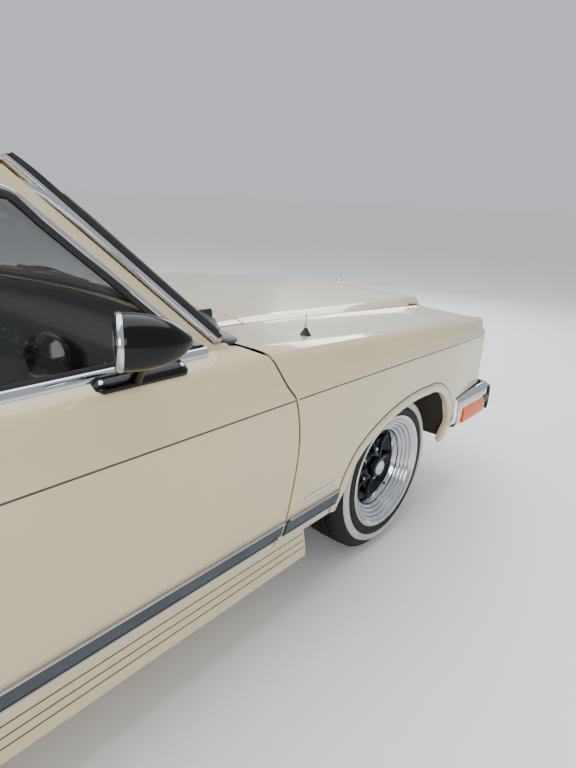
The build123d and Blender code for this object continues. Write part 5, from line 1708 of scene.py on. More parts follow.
@dataclass
class Lamps:
    """Head, turn and tail lamps with bezels, ribbed lenses and reflectors."""

    head_y: tuple = (0.5605, 0.8495)
    head_z: tuple = (0.6205, 0.7895)
    turn_z: tuple = (0.5455, 0.5995)
    tail_y: tuple = (0.6405, 0.8595)
    tail_z: tuple = (0.5905, 0.7695)
    tail_cells: int = 5
    done: set = field(default_factory=set)

    def build(self) -> None:
        """Build the lamps of both ends and both sides."""
        nose = PanelSkin(["head_lamps", "turn_lamps", "fender_right", "fender_left", "front_panel"])
        tail = PanelSkin(["tail_lamps", "body_shell"])
        for side_name, side in (("right", RIGHT), ("left", LEFT)):
            span_y = tuple(sorted(side * y for y in self.head_y))
            self._frame(nose, 1, f"headlamp_bezel_{side_name}", span_y, self.head_z, 0.012, -0.020, 0.0)
            mid = (span_y[0] + span_y[1]) / 2
            for number, (a, b) in enumerate(((span_y[0] + 0.014, mid - 0.006), (mid + 0.006, span_y[1] - 0.014))):
                name = f"headlamp_{side_name}_{number}"
                self._frame(nose, 1, name + "_rim", (a, b), (0.636, 0.775), 0.006, -0.018, -0.004)
                self._slab(nose, 1, name + "_lens", (a + 0.006, b - 0.006), (0.642, 0.769), (-0.013, -0.007),
                           CLEAR_LENS, "head_lamps")
                self._slab(nose, 1, name + "_reflector", (a + 0.006, b - 0.006), (0.642, 0.769), (-0.020, -0.0185),
                           CHROME, None)
            self._slab(nose, 1, f"headlamp_back_{side_name}", (span_y[0] + 0.012, span_y[1] - 0.012), (0.632, 0.778),
                       (-0.0225, -0.021), BLACK_SATIN, None)
            self._frame(nose, 1, f"turn_bezel_{side_name}", span_y, self.turn_z, 0.007, -0.018, -0.001)
            self._slab(nose, 1, f"turn_lens_{side_name}", (span_y[0] + 0.007, span_y[1] - 0.007), (0.5525, 0.5925),
                       (-0.016, -0.0035), AMBER_LENS, "turn_lamps")
            span_y = tuple(sorted(side * y for y in self.tail_y))
            self._frame(tail, -1, f"tail_bezel_{side_name}", span_y, self.tail_z, 0.009, -0.018, 0.0)
            wide = (span_y[1] - span_y[0] - 0.018) / self.tail_cells
            for i in range(self.tail_cells):
                y0 = span_y[0] + 0.009 + wide * i
                inner = (i == self.tail_cells - 1) if side < 0 else (i == 0)
                finish = CLEAR_LENS if inner else RED_LENS
                self._slab(tail, -1, f"tail_lens_{side_name}_{i}", (y0 + 0.002, y0 + wide - 0.002), (0.600, 0.760),
                           (-0.016, -0.005), finish, "tail_lamps")
            self._slab(tail, -1, f"tail_back_{side_name}", (span_y[0] + 0.008, span_y[1] - 0.008), (0.598, 0.762),
                       (-0.021, -0.0185), BLACK_SATIN, None)

    def _slab(self, skin: PanelSkin, sign: float, name: str, ys: tuple, zs: tuple, lifts: tuple, finish: Finish,
              node: str | None) -> None:
        """Lay a lens or plate on the nose or tail.

        Args:
            skin: Surface that the piece follows.
            sign: +1 at the nose, -1 at the tail.
            name: Name of the piece.
            ys: Least and greatest y.
            zs: Least and greatest z.
            lifts: Depth of its back and front.
            finish: Finish to show.
            node: CAD node that it replaces, or None.
        """
        bm = bmesh.new()
        end_patch(bm, skin, sign, ys, zs, lifts, 8, 6)
        made = piece(name, bm, finish, "car")
        if node is not None and node not in self.done:
            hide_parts(node)
            self.done.add(node)

    @staticmethod
    def _frame(skin: PanelSkin, sign: float, name: str, ys: tuple, zs: tuple, width: float, back: float,
               front: float) -> None:
        """Lay a bright frame round a lamp.

        Args:
            skin: Surface that the piece follows.
            sign: +1 at the nose, -1 at the tail.
            name: Name of the piece.
            ys: Least and greatest y.
            zs: Least and greatest z.
            width: Width of its strips.
            back: Depth of its back.
            front: Lift of its front.
        """
        bm = bmesh.new()
        for y_part, z_part in (((ys[0], ys[1]), (zs[1] - width, zs[1])), ((ys[0], ys[1]), (zs[0], zs[0] + width)),
                               ((ys[0], ys[0] + width), (zs[0] + width, zs[1] - width)),
                               ((ys[1] - width, ys[1]), (zs[0] + width, zs[1] - width))):
            end_patch(bm, skin, sign, y_part, z_part, (back, front), 8, 4)
        piece(name, bm, CHROME, "car")


@dataclass
class OutsideFittings:
    """Wipers, cowl vent, aerial, ornament, badges, painted shade in the sill grooves, and grille surround."""

    cowl_half: float = 0.786
    cowl_depth: float = 0.115
    louvres: int = 24
    louvre_pitch: float = 0.0175
    aerial_at: tuple = (1.140, -0.777)
    badge_x: tuple = (0.982, 1.146)
    badge_z: float = 0.456
    groove_z: tuple = (0.300, 0.276, 0.254)

    def build(self) -> None:
        """Add every fitting."""
        self._wipers()
        self._cowl()
        self._aerial()
        self._ornament()
        self._badges()
        self._sills()
        self._grille()

    def _wipers(self) -> None:
        """Build both wiper arms, blades and pivots."""
        skin = PanelSkin(["windshield"])
        for name, y_tip, y_root, y_pivot in (("right", -0.745, -0.300, -0.195), ("left", 0.020, 0.440, 0.545)):
            blade, outs = [], []
            for y in span(y_tip, y_root, 0.03):
                hit = skin.end(y, 0.992 + 0.014 * (y - y_tip) / (y_root - y_tip), 1)
                if hit is None:
                    continue
                blade.append(hit[0] + hit[1] * 0.010)
                outs.append(hit[1])
            bm = bmesh.new()
            sweep(bm, blade, outs, [(-0.0015, -0.0088), (-0.0040, 0.0), (-0.0045, 0.004), (0.0045, 0.004),
                                    (0.0040, 0.0), (0.0015, -0.0088)])
            middle = len(blade) // 2
            spread = [blade[max(0, middle - 4)] + outs[middle] * 0.004, blade[middle] + outs[middle] * 0.012,
                      blade[min(len(blade) - 1, middle + 4)] + outs[middle] * 0.004]
            tube(bm, spread, [0.002, 0.0032, 0.002], 8)
            pivot = skin.end(y_pivot, 0.968, 1)[0] + Vector((0.030, 0, -0.010))
            arm = [pivot + Vector((0, 0, 0.018)), pivot.lerp(blade[middle], 0.35) + Vector((0.004, 0, 0.030)),
                   pivot.lerp(blade[middle], 0.75) + Vector((0.0, 0, 0.024)), blade[middle] + outs[middle] * 0.014]
            tube(bm, arm, [0.0065, 0.0055, 0.0040, 0.0030], 10)
            turned_knob(bm, pivot + Vector((0, 0, -0.004)), Vector((0.15, 0, 1)),
                        [(0.013, 0), (0.013, 0.012), (0.0095, 0.020), (0.0060, 0.024)], 20)
            piece(f"wiper_{name}", bm, BLACK_SATIN, "car", 40)

    def _cowl(self) -> None:
        """Black air-intake panel between the screen and the hood, with its row of louvres."""
        skin = PanelSkin(["body_shell", "fender_right", "fender_left"])
        glass = PanelSkin(["windshield"])

        def line(y: float) -> tuple[float, float]:
            """Find the back and front edge of the panel at one width.

            Args:
                y: Position across the car.
            Returns:
                The two x values.
            """
            hit = glass.end(max(-0.768, min(0.768, y)), 0.975, 1)
            back = hit[0].x + 0.006
            return back, min(1.074, back + self.cowl_depth + 0.02 * (1 - (y / 0.78) ** 2))
        bm = bmesh.new()
        rings = []
        for y in span(-self.cowl_half, self.cowl_half, 0.0131):
            back, front = line(y)
            rounding = math.sin(min(1.0, (self.cowl_half + 0.0008 - abs(y)) / 0.050) * math.pi / 2) ** 0.5
            front = back + (front - back) * max(0.25, rounding)
            ring = []
            for share, rise in ((0.0, -0.004), (0.0, 0.033), (0.10, 0.0325), (0.30, 0.027), (0.55, 0.019),
                                (0.80, 0.0110),
                                (0.96, 0.0044), (1.0, 0.0), (1.0, -0.004)):
                x = back + (front - back) * share
                low = skin.top(x + (0.004 if share < 0.05 else 0.0), y)
                z = low[0].z if low is not None and low[0].z < 0.972 else (ring[-1].co.z - 0.004 if ring else 0.955)
                if abs(y) > 0.690:
                    z = 0.9375 + 0.010 * (1 - share)
                ring.append(bm.verts.new((x, y, min(0.988, z + (rise * rounding if rise > 0 else rise)))))
            rings.append(ring)
        ring_faces(bm, rings)
        bmesh.ops.recalc_face_normals(bm, faces=bm.faces)
        piece("cowl_panel", bm, BLACK_SATIN, "car", 45)
        bm = bmesh.new()
        for side in (-1, 1):
            for k in range(self.louvres):
                y = side * (0.110 + self.louvre_pitch * k)
                back, front = line(y)
                x = back + (front - back) * 0.62
                hit = skin.top(x, y)
                if hit is not None:
                    rounded_box(bm, (x - 0.024, y - 0.0042, hit[0].z + 0.0030),
                                (x + 0.024, y + 0.0042, hit[0].z + 0.0068), 0.001, 1)
        piece("cowl_louvres", bm, BLACK_GLOSS, "car")

    def _aerial(self) -> None:
        """Build the aerial base and its folded stub."""
        skin = PanelSkin(["fender_right"])
        hit = skin.top(*self.aerial_at)
        spot, up = hit[0], Vector((0, 0, 1))
        bm = bmesh.new()
        turned_knob(bm, spot + Vector((0, 0, -0.002)), up, [(0.0190, 0.0), (0.0188, 0.003), (0.0150, 0.008),
                                                            (0.0095, 0.016), (0.0070, 0.022), (0.0045, 0.026)], 28)
        piece("aerial_base", bm, BLACK_SATIN, "car")
        bm = bmesh.new()
        turned_knob(bm, spot + Vector((0, 0, 0.020)), up, [(0.0028, 0.0), (0.0028, 0.020), (0.0020, 0.022),
                                                           (0.0018, 0.040), (0.0034, 0.0415), (0.0036, 0.045),
                                                           (0.0020, 0.0475)], 16)
        piece("aerial_stub", bm, CHROME, "car")

    def _ornament(self) -> None:
        """Build a plain upright loop on its base."""
        low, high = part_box("hood_ornament")
        x, z = (low[0] + high[0]) / 2, low[2]
        bm = bmesh.new()
        turned_knob(bm, Vector((x, 0, z)), Vector((0, 0, 1)), [(0.0155, 0.0), (0.0155, 0.003), (0.0120, 0.007),
                                                               (0.0060, 0.010), (0.0045, 0.014)], 28)
        loop = [Vector((x, 0.0115 * math.cos(t), z + 0.030 + 0.0165 * math.sin(t)))
                for t in (2 * math.pi * k / 28 for k in range(28))]
        loop = [Vector((p.x, p.y, p.z)) for p in loop]
        tube(bm, [Vector((p.x, p.y * 0.30, p.z)) for p in loop], 0.0014, 8, True)
        turned_knob(bm, Vector((x, 0, z + 0.012)), Vector((0, 0, 1)), [(0.0016, 0), (0.0030, 0.012), (0.0034, 0.020),
                                                                       (0.0012, 0.033)], 12)
        made = piece("ornament_stand", bm, CHROME, "car", 50)
        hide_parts("hood_ornament")

    def _badges(self) -> None:
        """A plain slim bright bar behind each front wheel, with nothing written on it."""
        for side_name, side in (("right", RIGHT), ("left", LEFT)):
            skin = PanelSkin([f"fender_{side_name}"])
            bm = bmesh.new()
            rings = []
            for x in span(*self.badge_x, 0.006):
                hit = skin.side(x, self.badge_z, side)
                wide = 0.0080 * min(1.0, min(x - self.badge_x[0] + 0.0015, self.badge_x[1] + 0.0015 - x) / 0.014) ** 0.5
                rings.append([bm.verts.new(hit[0] + Vector((a * wide * 0.4, 0, a * wide)) + hit[1] * b) for a, b in (
                    (-1, -0.001), (-1, 0.0020), (-0.5, 0.0034), (0.5, 0.0034), (1, 0.0020), (1, -0.001))])
            ring_faces(bm, rings)
            piece(f"fender_badge_{side_name}", bm, CHROME, "car", 50)

    def _sills(self) -> None:
        """Lay flat dark strips along the grooves of the sill boards, as painted shade in the grooves, and the screws.
        """
        for side_name, side in (("right", RIGHT), ("left", LEFT)):
            bm = bmesh.new()
            for z in self.groove_z:
                out = 0.893 + (0.318 - z) / 0.075 * 0.013
                path = [Vector((x, side * out, z)) for x in span(-0.856, 1.036, 0.1)]
                sweep(bm, path, [Vector((0, side * 0.985, 0.17))] * len(path),
                      [(-0.0016, -0.0006), (-0.0016, 0.0004), (0.0016, 0.0004), (0.0016, -0.0006)])
            piece(f"sill_grooves_{side_name}", bm, DARK_STRIPE, "car")
            bm = bmesh.new()
            for x in span(-0.80, 0.98, 0.178):
                turned_knob(bm, Vector((x, side * 0.8922, 0.3125)), Vector((0, side, 0.2)),
                            [(0.0048, 0), (0.0048, 0.0014), (0.0030, 0.0028)], 12)
            piece(f"sill_screws_{side_name}", bm, CHROME, "car")

    def _grille(self) -> None:
        """Build the bright surround and bars of the grille."""
        bm = bmesh.new()
        skin = PanelSkin(["front_panel"])
        for z0, z1 in ((0.8105, 0.8215), (0.5335, 0.5445)):
            end_patch(bm, skin, 1, (-0.462, 0.462), (z0, z1), (-0.004, 0.006), 16, 2)
        for y0, y1 in ((-0.4665, -0.4555), (0.4555, 0.4665)):
            end_patch(bm, skin, 1, (y0, y1), (0.534, 0.821), (-0.004, 0.006), 2, 12)
        piece("grille_surround", bm, CHROME, "car")
        low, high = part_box("grille")
        bm = bmesh.new()
        for k in range(1, 13):
            z = 0.545 + 0.265 * k / 13
            path = [Vector((high[0] - 0.012, y, z)) for y in span(-0.438, 0.438, 0.1)]
            sweep(bm, path, [Vector((1, 0, 0))] * len(path),
                  [(-0.0013, -0.006), (-0.0013, 0.0), (0.0013, 0.0), (0.0013, -0.006)])
        piece("grille_bars", bm, POLISHED, "car")
        bm = bmesh.new()
        rounded_box(bm, (low[0] - 0.012, -0.445, 0.552), (low[0] - 0.006, 0.445, 0.803), 0.002, 1)
        piece("grille_screen", bm, BLACK_SATIN, "car")



# ---------------------------------------------------------------- padded seats
@dataclass(frozen=True)
class Pad:
    """One cushion or back: side outline, width and where its sewn channels run."""

    name: str
    outline: tuple
    width: tuple
    face: tuple
    channels: tuple
    node: str
    voxel: float = 0.006


@dataclass
class Upholstery:
    """Seat pads swelled by a cloth simulation, then sewn into channels and edged with piping."""

    growth_cap: float = 0.012
    pressure: float = 4.0
    last_frame: int = 20
    pads: tuple = (
        Pad("front_cushion", ((-0.172, 0.292), (0.232, 0.290), (0.244, 0.402), (-0.140, 0.384)), (0.108, 0.628),
            (0, 0, 1), (0.232, 0.286, 0.340, 0.396, 0.450, 0.504), "front_seats"),
        Pad("front_back", ((-0.176, 0.400), (-0.312, 0.938), (-0.400, 0.936), (-0.388, 0.790), (-0.345, 0.420)),
            (0.108, 0.628), (0.96, 0, 0.26), (0.232, 0.286, 0.340, 0.396, 0.450, 0.504), "front_seats"),
        Pad("rear_cushion", ((-0.846, 0.394), (-0.474, 0.390), (-0.464, 0.464), (-0.818, 0.444)), (0.006, 0.578),
            (0, 0, 1), (0.110, 0.170, 0.230, 0.290, 0.350, 0.410, 0.470), "rear_seat", 0.007),
        Pad("rear_back", ((-0.838, 0.466), (-0.956, 0.884), (-1.034, 0.882), (-0.990, 0.700), (-0.896, 0.486)),
            (0.006, 0.578), (0.96, 0, 0.26), (0.110, 0.170, 0.230, 0.290, 0.350, 0.410, 0.470), "rear_seat", 0.007))

    def build(self) -> None:
        """Build both sides of every pad from one simulation each."""
        seen: set[str] = set()
        for pad in self.pads:
            mesh = self._sewn(pad, self._swell(pad))
            for side_name, side in (("right", RIGHT), ("left", LEFT)):
                made = self._side_copy(pad, mesh, side_name, side)
                if pad.node not in seen:
                    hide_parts(pad.node)
                    seen.add(pad.node)
                self._piping(pad, mesh, side_name, side)
            LOG.info("pad %s done", pad.name)
        self._frames()

    def _swell(self, pad: Pad) -> bpy.types.Mesh:
        """Blow the plain pad up like stuffed fabric, with its growth capped.

        Args:
            pad: The pad to swell.

        Returns:
            The swelled and smoothed mesh, on the left half of the car.
        """
        bm = bmesh.new()
        y0, y1 = pad.width
        rings = [[bm.verts.new((x, y, z)) for x, z in pad.outline] for y in (y0, y1)]
        ring_faces(bm, rings)
        bmesh.ops.recalc_face_normals(bm, faces=bm.faces)
        bmesh.ops.bevel(bm, geom=list(bm.edges), offset=0.016, segments=3, affect="EDGES", profile=0.6)
        mesh = bpy.data.meshes.new(pad.name + "_block")
        bm.to_mesh(mesh)
        bm.free()
        obj = bpy.data.objects.new(pad.name + "_block", mesh)
        bpy.context.scene.collection.objects.link(obj)
        remesh = obj.modifiers.new("voxels", "REMESH")
        remesh.mode, remesh.voxel_size = "VOXEL", pad.voxel * 1
        depsgraph = bpy.context.evaluated_depsgraph_get()
        plain = bpy.data.meshes.new_from_object(obj.evaluated_get(depsgraph))
        obj.modifiers.clear()
        obj.data = plain
        rest = [v.co.copy() for v in plain.vertices]
        cloth = obj.modifiers.new("stuffing", "CLOTH")
        cloth.settings.quality = 5
        cloth.settings.use_pressure = True
        cloth.settings.uniform_pressure_force = self.pressure
        cloth.settings.effector_weights.gravity = 0
        cloth.point_cache.frame_start, cloth.point_cache.frame_end = 1, self.last_frame
        scene = bpy.context.scene
        for number in range(1, self.last_frame + 1):
            scene.frame_set(number)
        result = bpy.data.meshes.new_from_object(obj.evaluated_get(bpy.context.evaluated_depsgraph_get()))
        for vertex, home in zip(result.vertices, rest):
            move = vertex.co - home
            if move.length > self.growth_cap:
                vertex.co = home + move * (self.growth_cap / move.length)
        scene.frame_set(1)
        bpy.data.objects.remove(obj)
        return result

    @staticmethod
    def _sewn(pad: Pad, mesh: bpy.types.Mesh) -> bpy.types.Mesh:
        """Subdivide once, then press the seams into the face of a pad.

        Args:
            pad: The pad and its seams.
            mesh: Mesh of the pad.
        Returns:
            The sewn mesh.
        """
        obj = bpy.data.objects.new(pad.name + "_sewn", mesh)
        bpy.context.scene.collection.objects.link(obj)
        finer = obj.modifiers.new("finer", "SUBSURF")
        finer.levels = finer.render_levels = 1
        fine = bpy.data.meshes.new_from_object(obj.evaluated_get(bpy.context.evaluated_depsgraph_get()))
        bpy.data.objects.remove(obj)
        face = Vector(pad.face).normalized()
        run = face.cross(Vector((0, 1, 0)))
        along = [v.co.dot(run) for v in fine.vertices]
        low, high = min(along) + 0.052, max(along) - 0.052
        first, last = pad.channels[0], pad.channels[-1]
        normals = [v.normal.copy() for v in fine.vertices]
        for vertex, u, normal in zip(fine.vertices, along, normals):
            facing = normal.dot(face)
            if facing < 0.35:
                continue
            y = vertex.co.y
            press = 0.0
            if low - 0.004 < u < high + 0.004:
                press = sum(0.0075 * math.exp(-((y - c) / 0.0052) ** 2) for c in pad.channels)
                if first < y < last:
                    inside = min(u - low, high - u)
                    gap = (pad.channels[1] - first) / 2
                    swell = 1 - min(1.0, min(abs(y - c) for c in pad.channels) / gap) ** 2
                    press += 0.0030 * swell * min(1.0, max(0.0, inside) / 0.02)
            if first - 0.004 < y < last + 0.004:
                press += 0.0075 * max(math.exp(-((u - low) / 0.0052) ** 2), math.exp(-((u - high) / 0.0052) ** 2))
            vertex.co -= face * min(press, 0.0095) * min(1.0, (facing - 0.35) / 0.3)
        return thinned(fine, 0.55)

    @staticmethod
    def _side_copy(pad: Pad, mesh: bpy.types.Mesh, side_name: str, side: float) -> bpy.types.Object:
        """Place a pad on one side of the car.

        Args:
            pad: The pad and its seams.
            mesh: Mesh of the pad.
            side_name: "right" or "left".
            side: -1 on the right, +1 on the left.
        Returns:
            The padded piece.
        """
        bm = bmesh.new()
        bm.from_mesh(mesh)
        for vertex in bm.verts:
            vertex.co.y *= side
        if side < 0:
            bmesh.ops.reverse_faces(bm, faces=bm.faces)
        return piece(f"{pad.name}_{side_name}", bm, VINYL, "car", 60)

    @staticmethod
    def _piping(pad: Pad, mesh: bpy.types.Mesh, side_name: str, side: float) -> None:
        """Lay the piping along the edges of a pad.

        Args:
            pad: The pad and its seams.
            mesh: Mesh of the pad.
            side_name: "right" or "left".
            side: -1 on the right, +1 on the left.
        """
        tree = BVHTree.FromPolygons([v.co for v in mesh.vertices], [list(p.vertices) for p in mesh.polygons])
        corners = [Vector((x, 0, z)) for x, z in pad.outline]
        loop = []
        for i, corner in enumerate(corners):
            after = corners[(i + 1) % len(corners)]
            steps = max(3, int((after - corner).length / 0.012))
            loop += [corner.lerp(after, k / steps) for k in range(steps)]
        bm = bmesh.new()
        for y in (pad.width[0] + 0.007, pad.width[1] - 0.007):
            path = []
            for point in loop:
                spot, normal, _, _ = tree.find_nearest(Vector((point.x, y, point.z)))
                path.append(Vector((spot.x, spot.y * side, spot.z)) + Vector((normal.x, normal.y * side,
                                                                              normal.z)) * 0.0012)
            tube(bm, smooth_vectors(path, 3), 0.0032, 8, True)
        piece(f"{pad.name}_piping_{side_name}", bm, VINYL, "car", 60)

    @staticmethod
    def _frames() -> None:
        """Slide rails, seat plinths, back boards and lap belts."""
        for side_name, side in (("right", RIGHT), ("left", LEFT)):
            bm = bmesh.new()
            for y in (0.150, 0.560):
                y0, y1 = sorted((side * y, side * (y + 0.028)))
                rounded_box(bm, (-0.276, y0, 0.2525), (0.196, y1, 0.262), 0.002, 2)
                rounded_box(bm, (-0.262, y0 + 0.005, 0.262), (0.188, y1 - 0.005, 0.276), 0.002, 2)
            piece(f"seat_rails_{side_name}", bm, STEEL, "car")
            bm = bmesh.new()
            y0, y1 = sorted((side * 0.112, side * 0.624))
            rounded_box(bm, (-0.318, y0, 0.276), (0.226, y1, 0.300), 0.008, 3)
            piece(f"seat_plinth_{side_name}", bm, BLACK_SATIN, "car")
            bm = bmesh.new()
            rings = []
            for x, z in ((-0.352, 0.310), (-0.362, 0.420), (-0.390, 0.600), (-0.4105, 0.800), (-0.4165, 0.930)):
                rings.append([bm.verts.new((x + back, y, z)) for y, back in (
                    (y0 + 0.010, 0.014), (y0 + 0.014, 0.004), (y0 + 0.030, 0.0), (y1 - 0.030, 0.0), (y1 - 0.014, 0.004),
                    (y1 - 0.010, 0.014))])
            ring_faces(bm, rings)
            bmesh.ops.recalc_face_normals(bm, faces=bm.faces)
            piece(f"seat_back_board_{side_name}", bm, VINYL, "car", 50)
            bm = bmesh.new()
            path = [Vector((-0.150, side * 0.640, 0.300)), Vector((-0.165, side * 0.636, 0.400)),
                    Vector((-0.150, side * 0.600, 0.424)), Vector((-0.120, side * 0.500, 0.428))]
            sweep(bm, path, [Vector((0, side, 0.2)), Vector((0, side, 0.3)), Vector((0, 0.3 * side, 1)),
                             Vector((0, 0, 1))],
                  [(-0.022, -0.001), (-0.022, 0.0008), (0.022, 0.0008), (0.022, -0.001)])
            rounded_box(bm, (-0.142, min(side * 0.470, side * 0.505), 0.424),
                        (-0.098, max(side * 0.470, side * 0.505), 0.436), 0.003, 2)
            piece(f"lap_belt_{side_name}", bm, BLACK_SATIN, "car")


# ---------------------------------------------------------------- cabin
@dataclass
class Cabin:
    """Dashboard, steering wheel, door linings, carpet, head lining, shelf, mirror and pedals."""

    front_lining_x: tuple = (-0.105, 0.735)
    rear_lining_x: tuple = (-0.700, -0.305)
    dash_half: float = 0.718

    def build(self) -> None:
        """Build everything inside the cabin but the seats."""
        self._dashboard()
        self._steering_wheel()
        for side_name, side in (("right", RIGHT), ("left", LEFT)):
            self._door_lining(side_name, side, "front", self.front_lining_x)
            self._door_lining(side_name, side, "rear", self.rear_lining_x)
        self._carpet()
        self._head_lining()
        self._small_parts()

    @staticmethod
    def prism(bm: bmesh.types.BMesh, outline: list, y0: float, y1: float, soft: float = 0.0, steps: int = 3) -> None:
        """Run a side outline across the car, with softened edges.

        Args:
            bm: Mesh being built.
            outline: Pairs of x and z.
            y0: First y.
            y1: Last y.
            soft: Softening of the edges.
            steps: Number of steps.
        """
        part = bmesh.new()
        ring_faces(part, [[part.verts.new((x, y, z)) for x, z in outline] for y in (y0, y1)])
        bmesh.ops.recalc_face_normals(part, faces=part.faces)
        if soft:
            bmesh.ops.bevel(part, geom=list(part.edges), offset=soft, segments=steps, affect="EDGES", profile=0.5)
        mesh = bpy.data.meshes.new("prism_work")
        part.to_mesh(mesh)
        part.free()
        bm.from_mesh(mesh)
        bpy.data.meshes.remove(mesh)

    def _dashboard(self) -> None:
        """Build the dashboard with its dials, controls and vents."""
        bm = bmesh.new()
        self.prism(bm, [(0.984, 0.762), (0.704, 0.706), (0.652, 0.724), (0.646, 0.770), (0.664, 0.838), (0.628, 0.862),
                        (0.640, 0.894), (0.680, 0.910), (0.838, 0.906), (0.984, 0.858)], -self.dash_half,
                        self.dash_half, 0.010, 3)
        board = piece("dash_board", bm, DASH, "car", 50)
        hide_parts("dashboard")
        bm = bmesh.new()
        self.prism(bm, [(0.655, 0.776), (0.6475, 0.777), (0.6655, 0.836), (0.674, 0.834)], -0.700, 0.700, 0.0015, 2)
        piece("dash_face", bm, WOOD, "car")
        low, high = Vector((0.6468, 0, 0.777)), Vector((0.6648, 0, 0.836))
        out = Vector((-(high - low).z, 0, (high - low).x)).normalized()
        bm, dark = bmesh.new(), bmesh.new()
        for y in (0.275, 0.395, 0.490):
            r = 0.0265 if y < 0.45 else 0.018
            spot = low.lerp(high, 0.5) + Vector((0, y, 0))
            turned_knob(bm, spot, out, [(r + 0.004, 0.0), (r + 0.004, 0.005), (r + 0.002, 0.0075), (r, 0.0060),
                                        (r - 0.001, 0.001)], 40)
            turned_knob(dark, spot, out, [(r, 0.0012), (r * 0.5, 0.0013), (0.001, 0.0014)], 40)
            for k in range(9):
                t = math.radians(-130 + k * 32.5)
                mark = spot + out * 0.0016 + (Vector((0, 1, 0)) * math.sin(t)
                                              + (high - low).normalized() * math.cos(t)) * r * 0.80
                turned_knob(bm, mark, out, [(0.0011, 0), (0.0009, 0.0008)], 6)
            turned_knob(bm, spot, out, [(0.0035, 0.0), (0.0035, 0.004), (0.002, 0.005)], 16)
        for y in (0.130, 0.060, -0.010):
            turned_knob(bm, low.lerp(high, 0.35) + Vector((0, y, 0)), out, [(0.009, 0), (0.009, 0.011), (0.007, 0.014)],
                        24)
        for y in (-0.640, -0.170, 0.185, 0.640):
            centre = low.lerp(high, 0.5) + Vector((0, y, 0))
            for k in range(5):
                z = centre.z - 0.020 + k * 0.010
                x = centre.x + (z - centre.z) * (high.x - low.x) / (high.z - low.z)
                rounded_box(bm, (x - 0.004, y - 0.040, z - 0.0012), (x + 0.001, y + 0.040, z + 0.0012), 0.0005, 1)
        piece("dash_dials", bm, CHROME, "car", 40)
        rounded_box(dark, (0.648, 0.020, 0.800), (0.664, 0.120, 0.828), 0.002, 2)
        piece("dash_dark_faces", dark, BLACK_GLOSS, "car")
        bm = bmesh.new()
        for y0, y1 in ((-0.600, -0.230),):
            path = [low.lerp(high, a) + Vector((0, y, 0)) + out * 0.001 for a, y in (
                (0.08, y0), (0.08, y1), (0.94, y1), (0.94, y0))]
            tube(bm, path, 0.0009, 6, True)
        turned_knob(bm, low.lerp(high, 0.8) + Vector((0, -0.415, 0)), out, [(0.011, 0), (0.011, 0.005), (0.006, 0.006)],
                    24)
        piece("glove_box_edge", bm, CHROME, "car")
        bm = bmesh.new()
        for y0, y1 in ((-0.55, -0.12), (0.16, 0.60)):
            for k in range(7):
                x = 0.86 + k * 0.010
                rounded_box(bm, (x, y0, 0.9005 - (x - 0.84) * 0.33), (x + 0.004, y1, 0.9065 - (x - 0.84) * 0.33), 0.001,
                            1)
        piece("demist_vents", bm, BLACK_SATIN, "car")

    @staticmethod
    def _steering_wheel() -> None:
        """Build the rim, spokes, hub and column dress."""
        hub, tilt = Vector((0.395, 0.370, 0.820)), math.radians(24.0)
        rake = Vector((math.cos(tilt), 0, -math.sin(tilt)))
        rise = Vector((math.sin(tilt), 0, math.cos(tilt)))
        across = Vector((0, 1, 0))
        loop = [hub + 0.190 * (across * math.cos(t) + rise * math.sin(t))
                for t in (2 * math.pi * k / 72 for k in range(72))]
        bm = bmesh.new()
        tube(bm, loop, [0.0094 + 0.0012 * (1 + math.cos(k * 2 * math.pi / 3)) / 2 for k in range(72)], 12, True)
        rim = piece("steering_rim", bm, DASH, "steering", 60)
        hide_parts("steering_wheel")
        bm = bmesh.new()
        for side in (-1, 1):
            path = [hub + across * side * a - rise * b + rake * c for a, b, c in (
                (0.030, 0.006, 0.012), (0.080, 0.016, 0.008), (0.130, 0.024, 0.004), (0.182, 0.030, 0.0))]
            sweep(bm, path, [-rake] * 4,
                  [(-0.022, -0.004), (-0.020, 0.003), (0.0, 0.006), (0.020, 0.003), (0.022, -0.004)])
        turned_knob(bm, hub + rake * 0.055, -rake, [(0.040, 0.0), (0.046, 0.020), (0.050, 0.045), (0.046, 0.058),
                                                    (0.030, 0.064), (0.004, 0.066)], 40)
        turned_knob(bm, hub + rake * 0.400, -rake, [(0.0105, 0.0), (0.0105, 0.35)], 16)
        piece("steering_spokes", bm, DASH, "steering", 45)
        bm = bmesh.new()
        ring = [hub - rake * 0.004 + 0.118 * (across * math.cos(t) + rise * math.sin(t))
                for t in (math.radians(a) for a in range(190, 351, 8))]
        tube(bm, ring, 0.0032, 8)
        turned_knob(bm, hub - rake * 0.0085, -rake, [(0.026, 0.0), (0.026, 0.002), (0.020, 0.0045), (0.003, 0.005)], 32)
        piece("horn_ring", bm, CHROME, "steering", 45)
        bm = bmesh.new()
        turned_knob(bm, hub + rake * 0.300, -rake,
                    [(0.026, 0.0), (0.034, 0.02), (0.036, 0.16), (0.034, 0.215), (0.022, 0.225)], 32)
        lever = hub + rake * 0.120
        tube(bm, [lever, lever + across * 0.09 + rise * 0.02 - rake * 0.02,
                  lever + across * 0.150 + rise * 0.03 - rake * 0.05], [0.006, 0.005, 0.006], 10)
        tube(bm, [lever, lever - across * 0.10 + rise * 0.05 - rake * 0.03,
                  lever - across * 0.165 + rise * 0.06 - rake * 0.06], [0.007, 0.006, 0.010], 10)
        piece("column_shroud", bm, BLACK_SATIN, "car", 50)

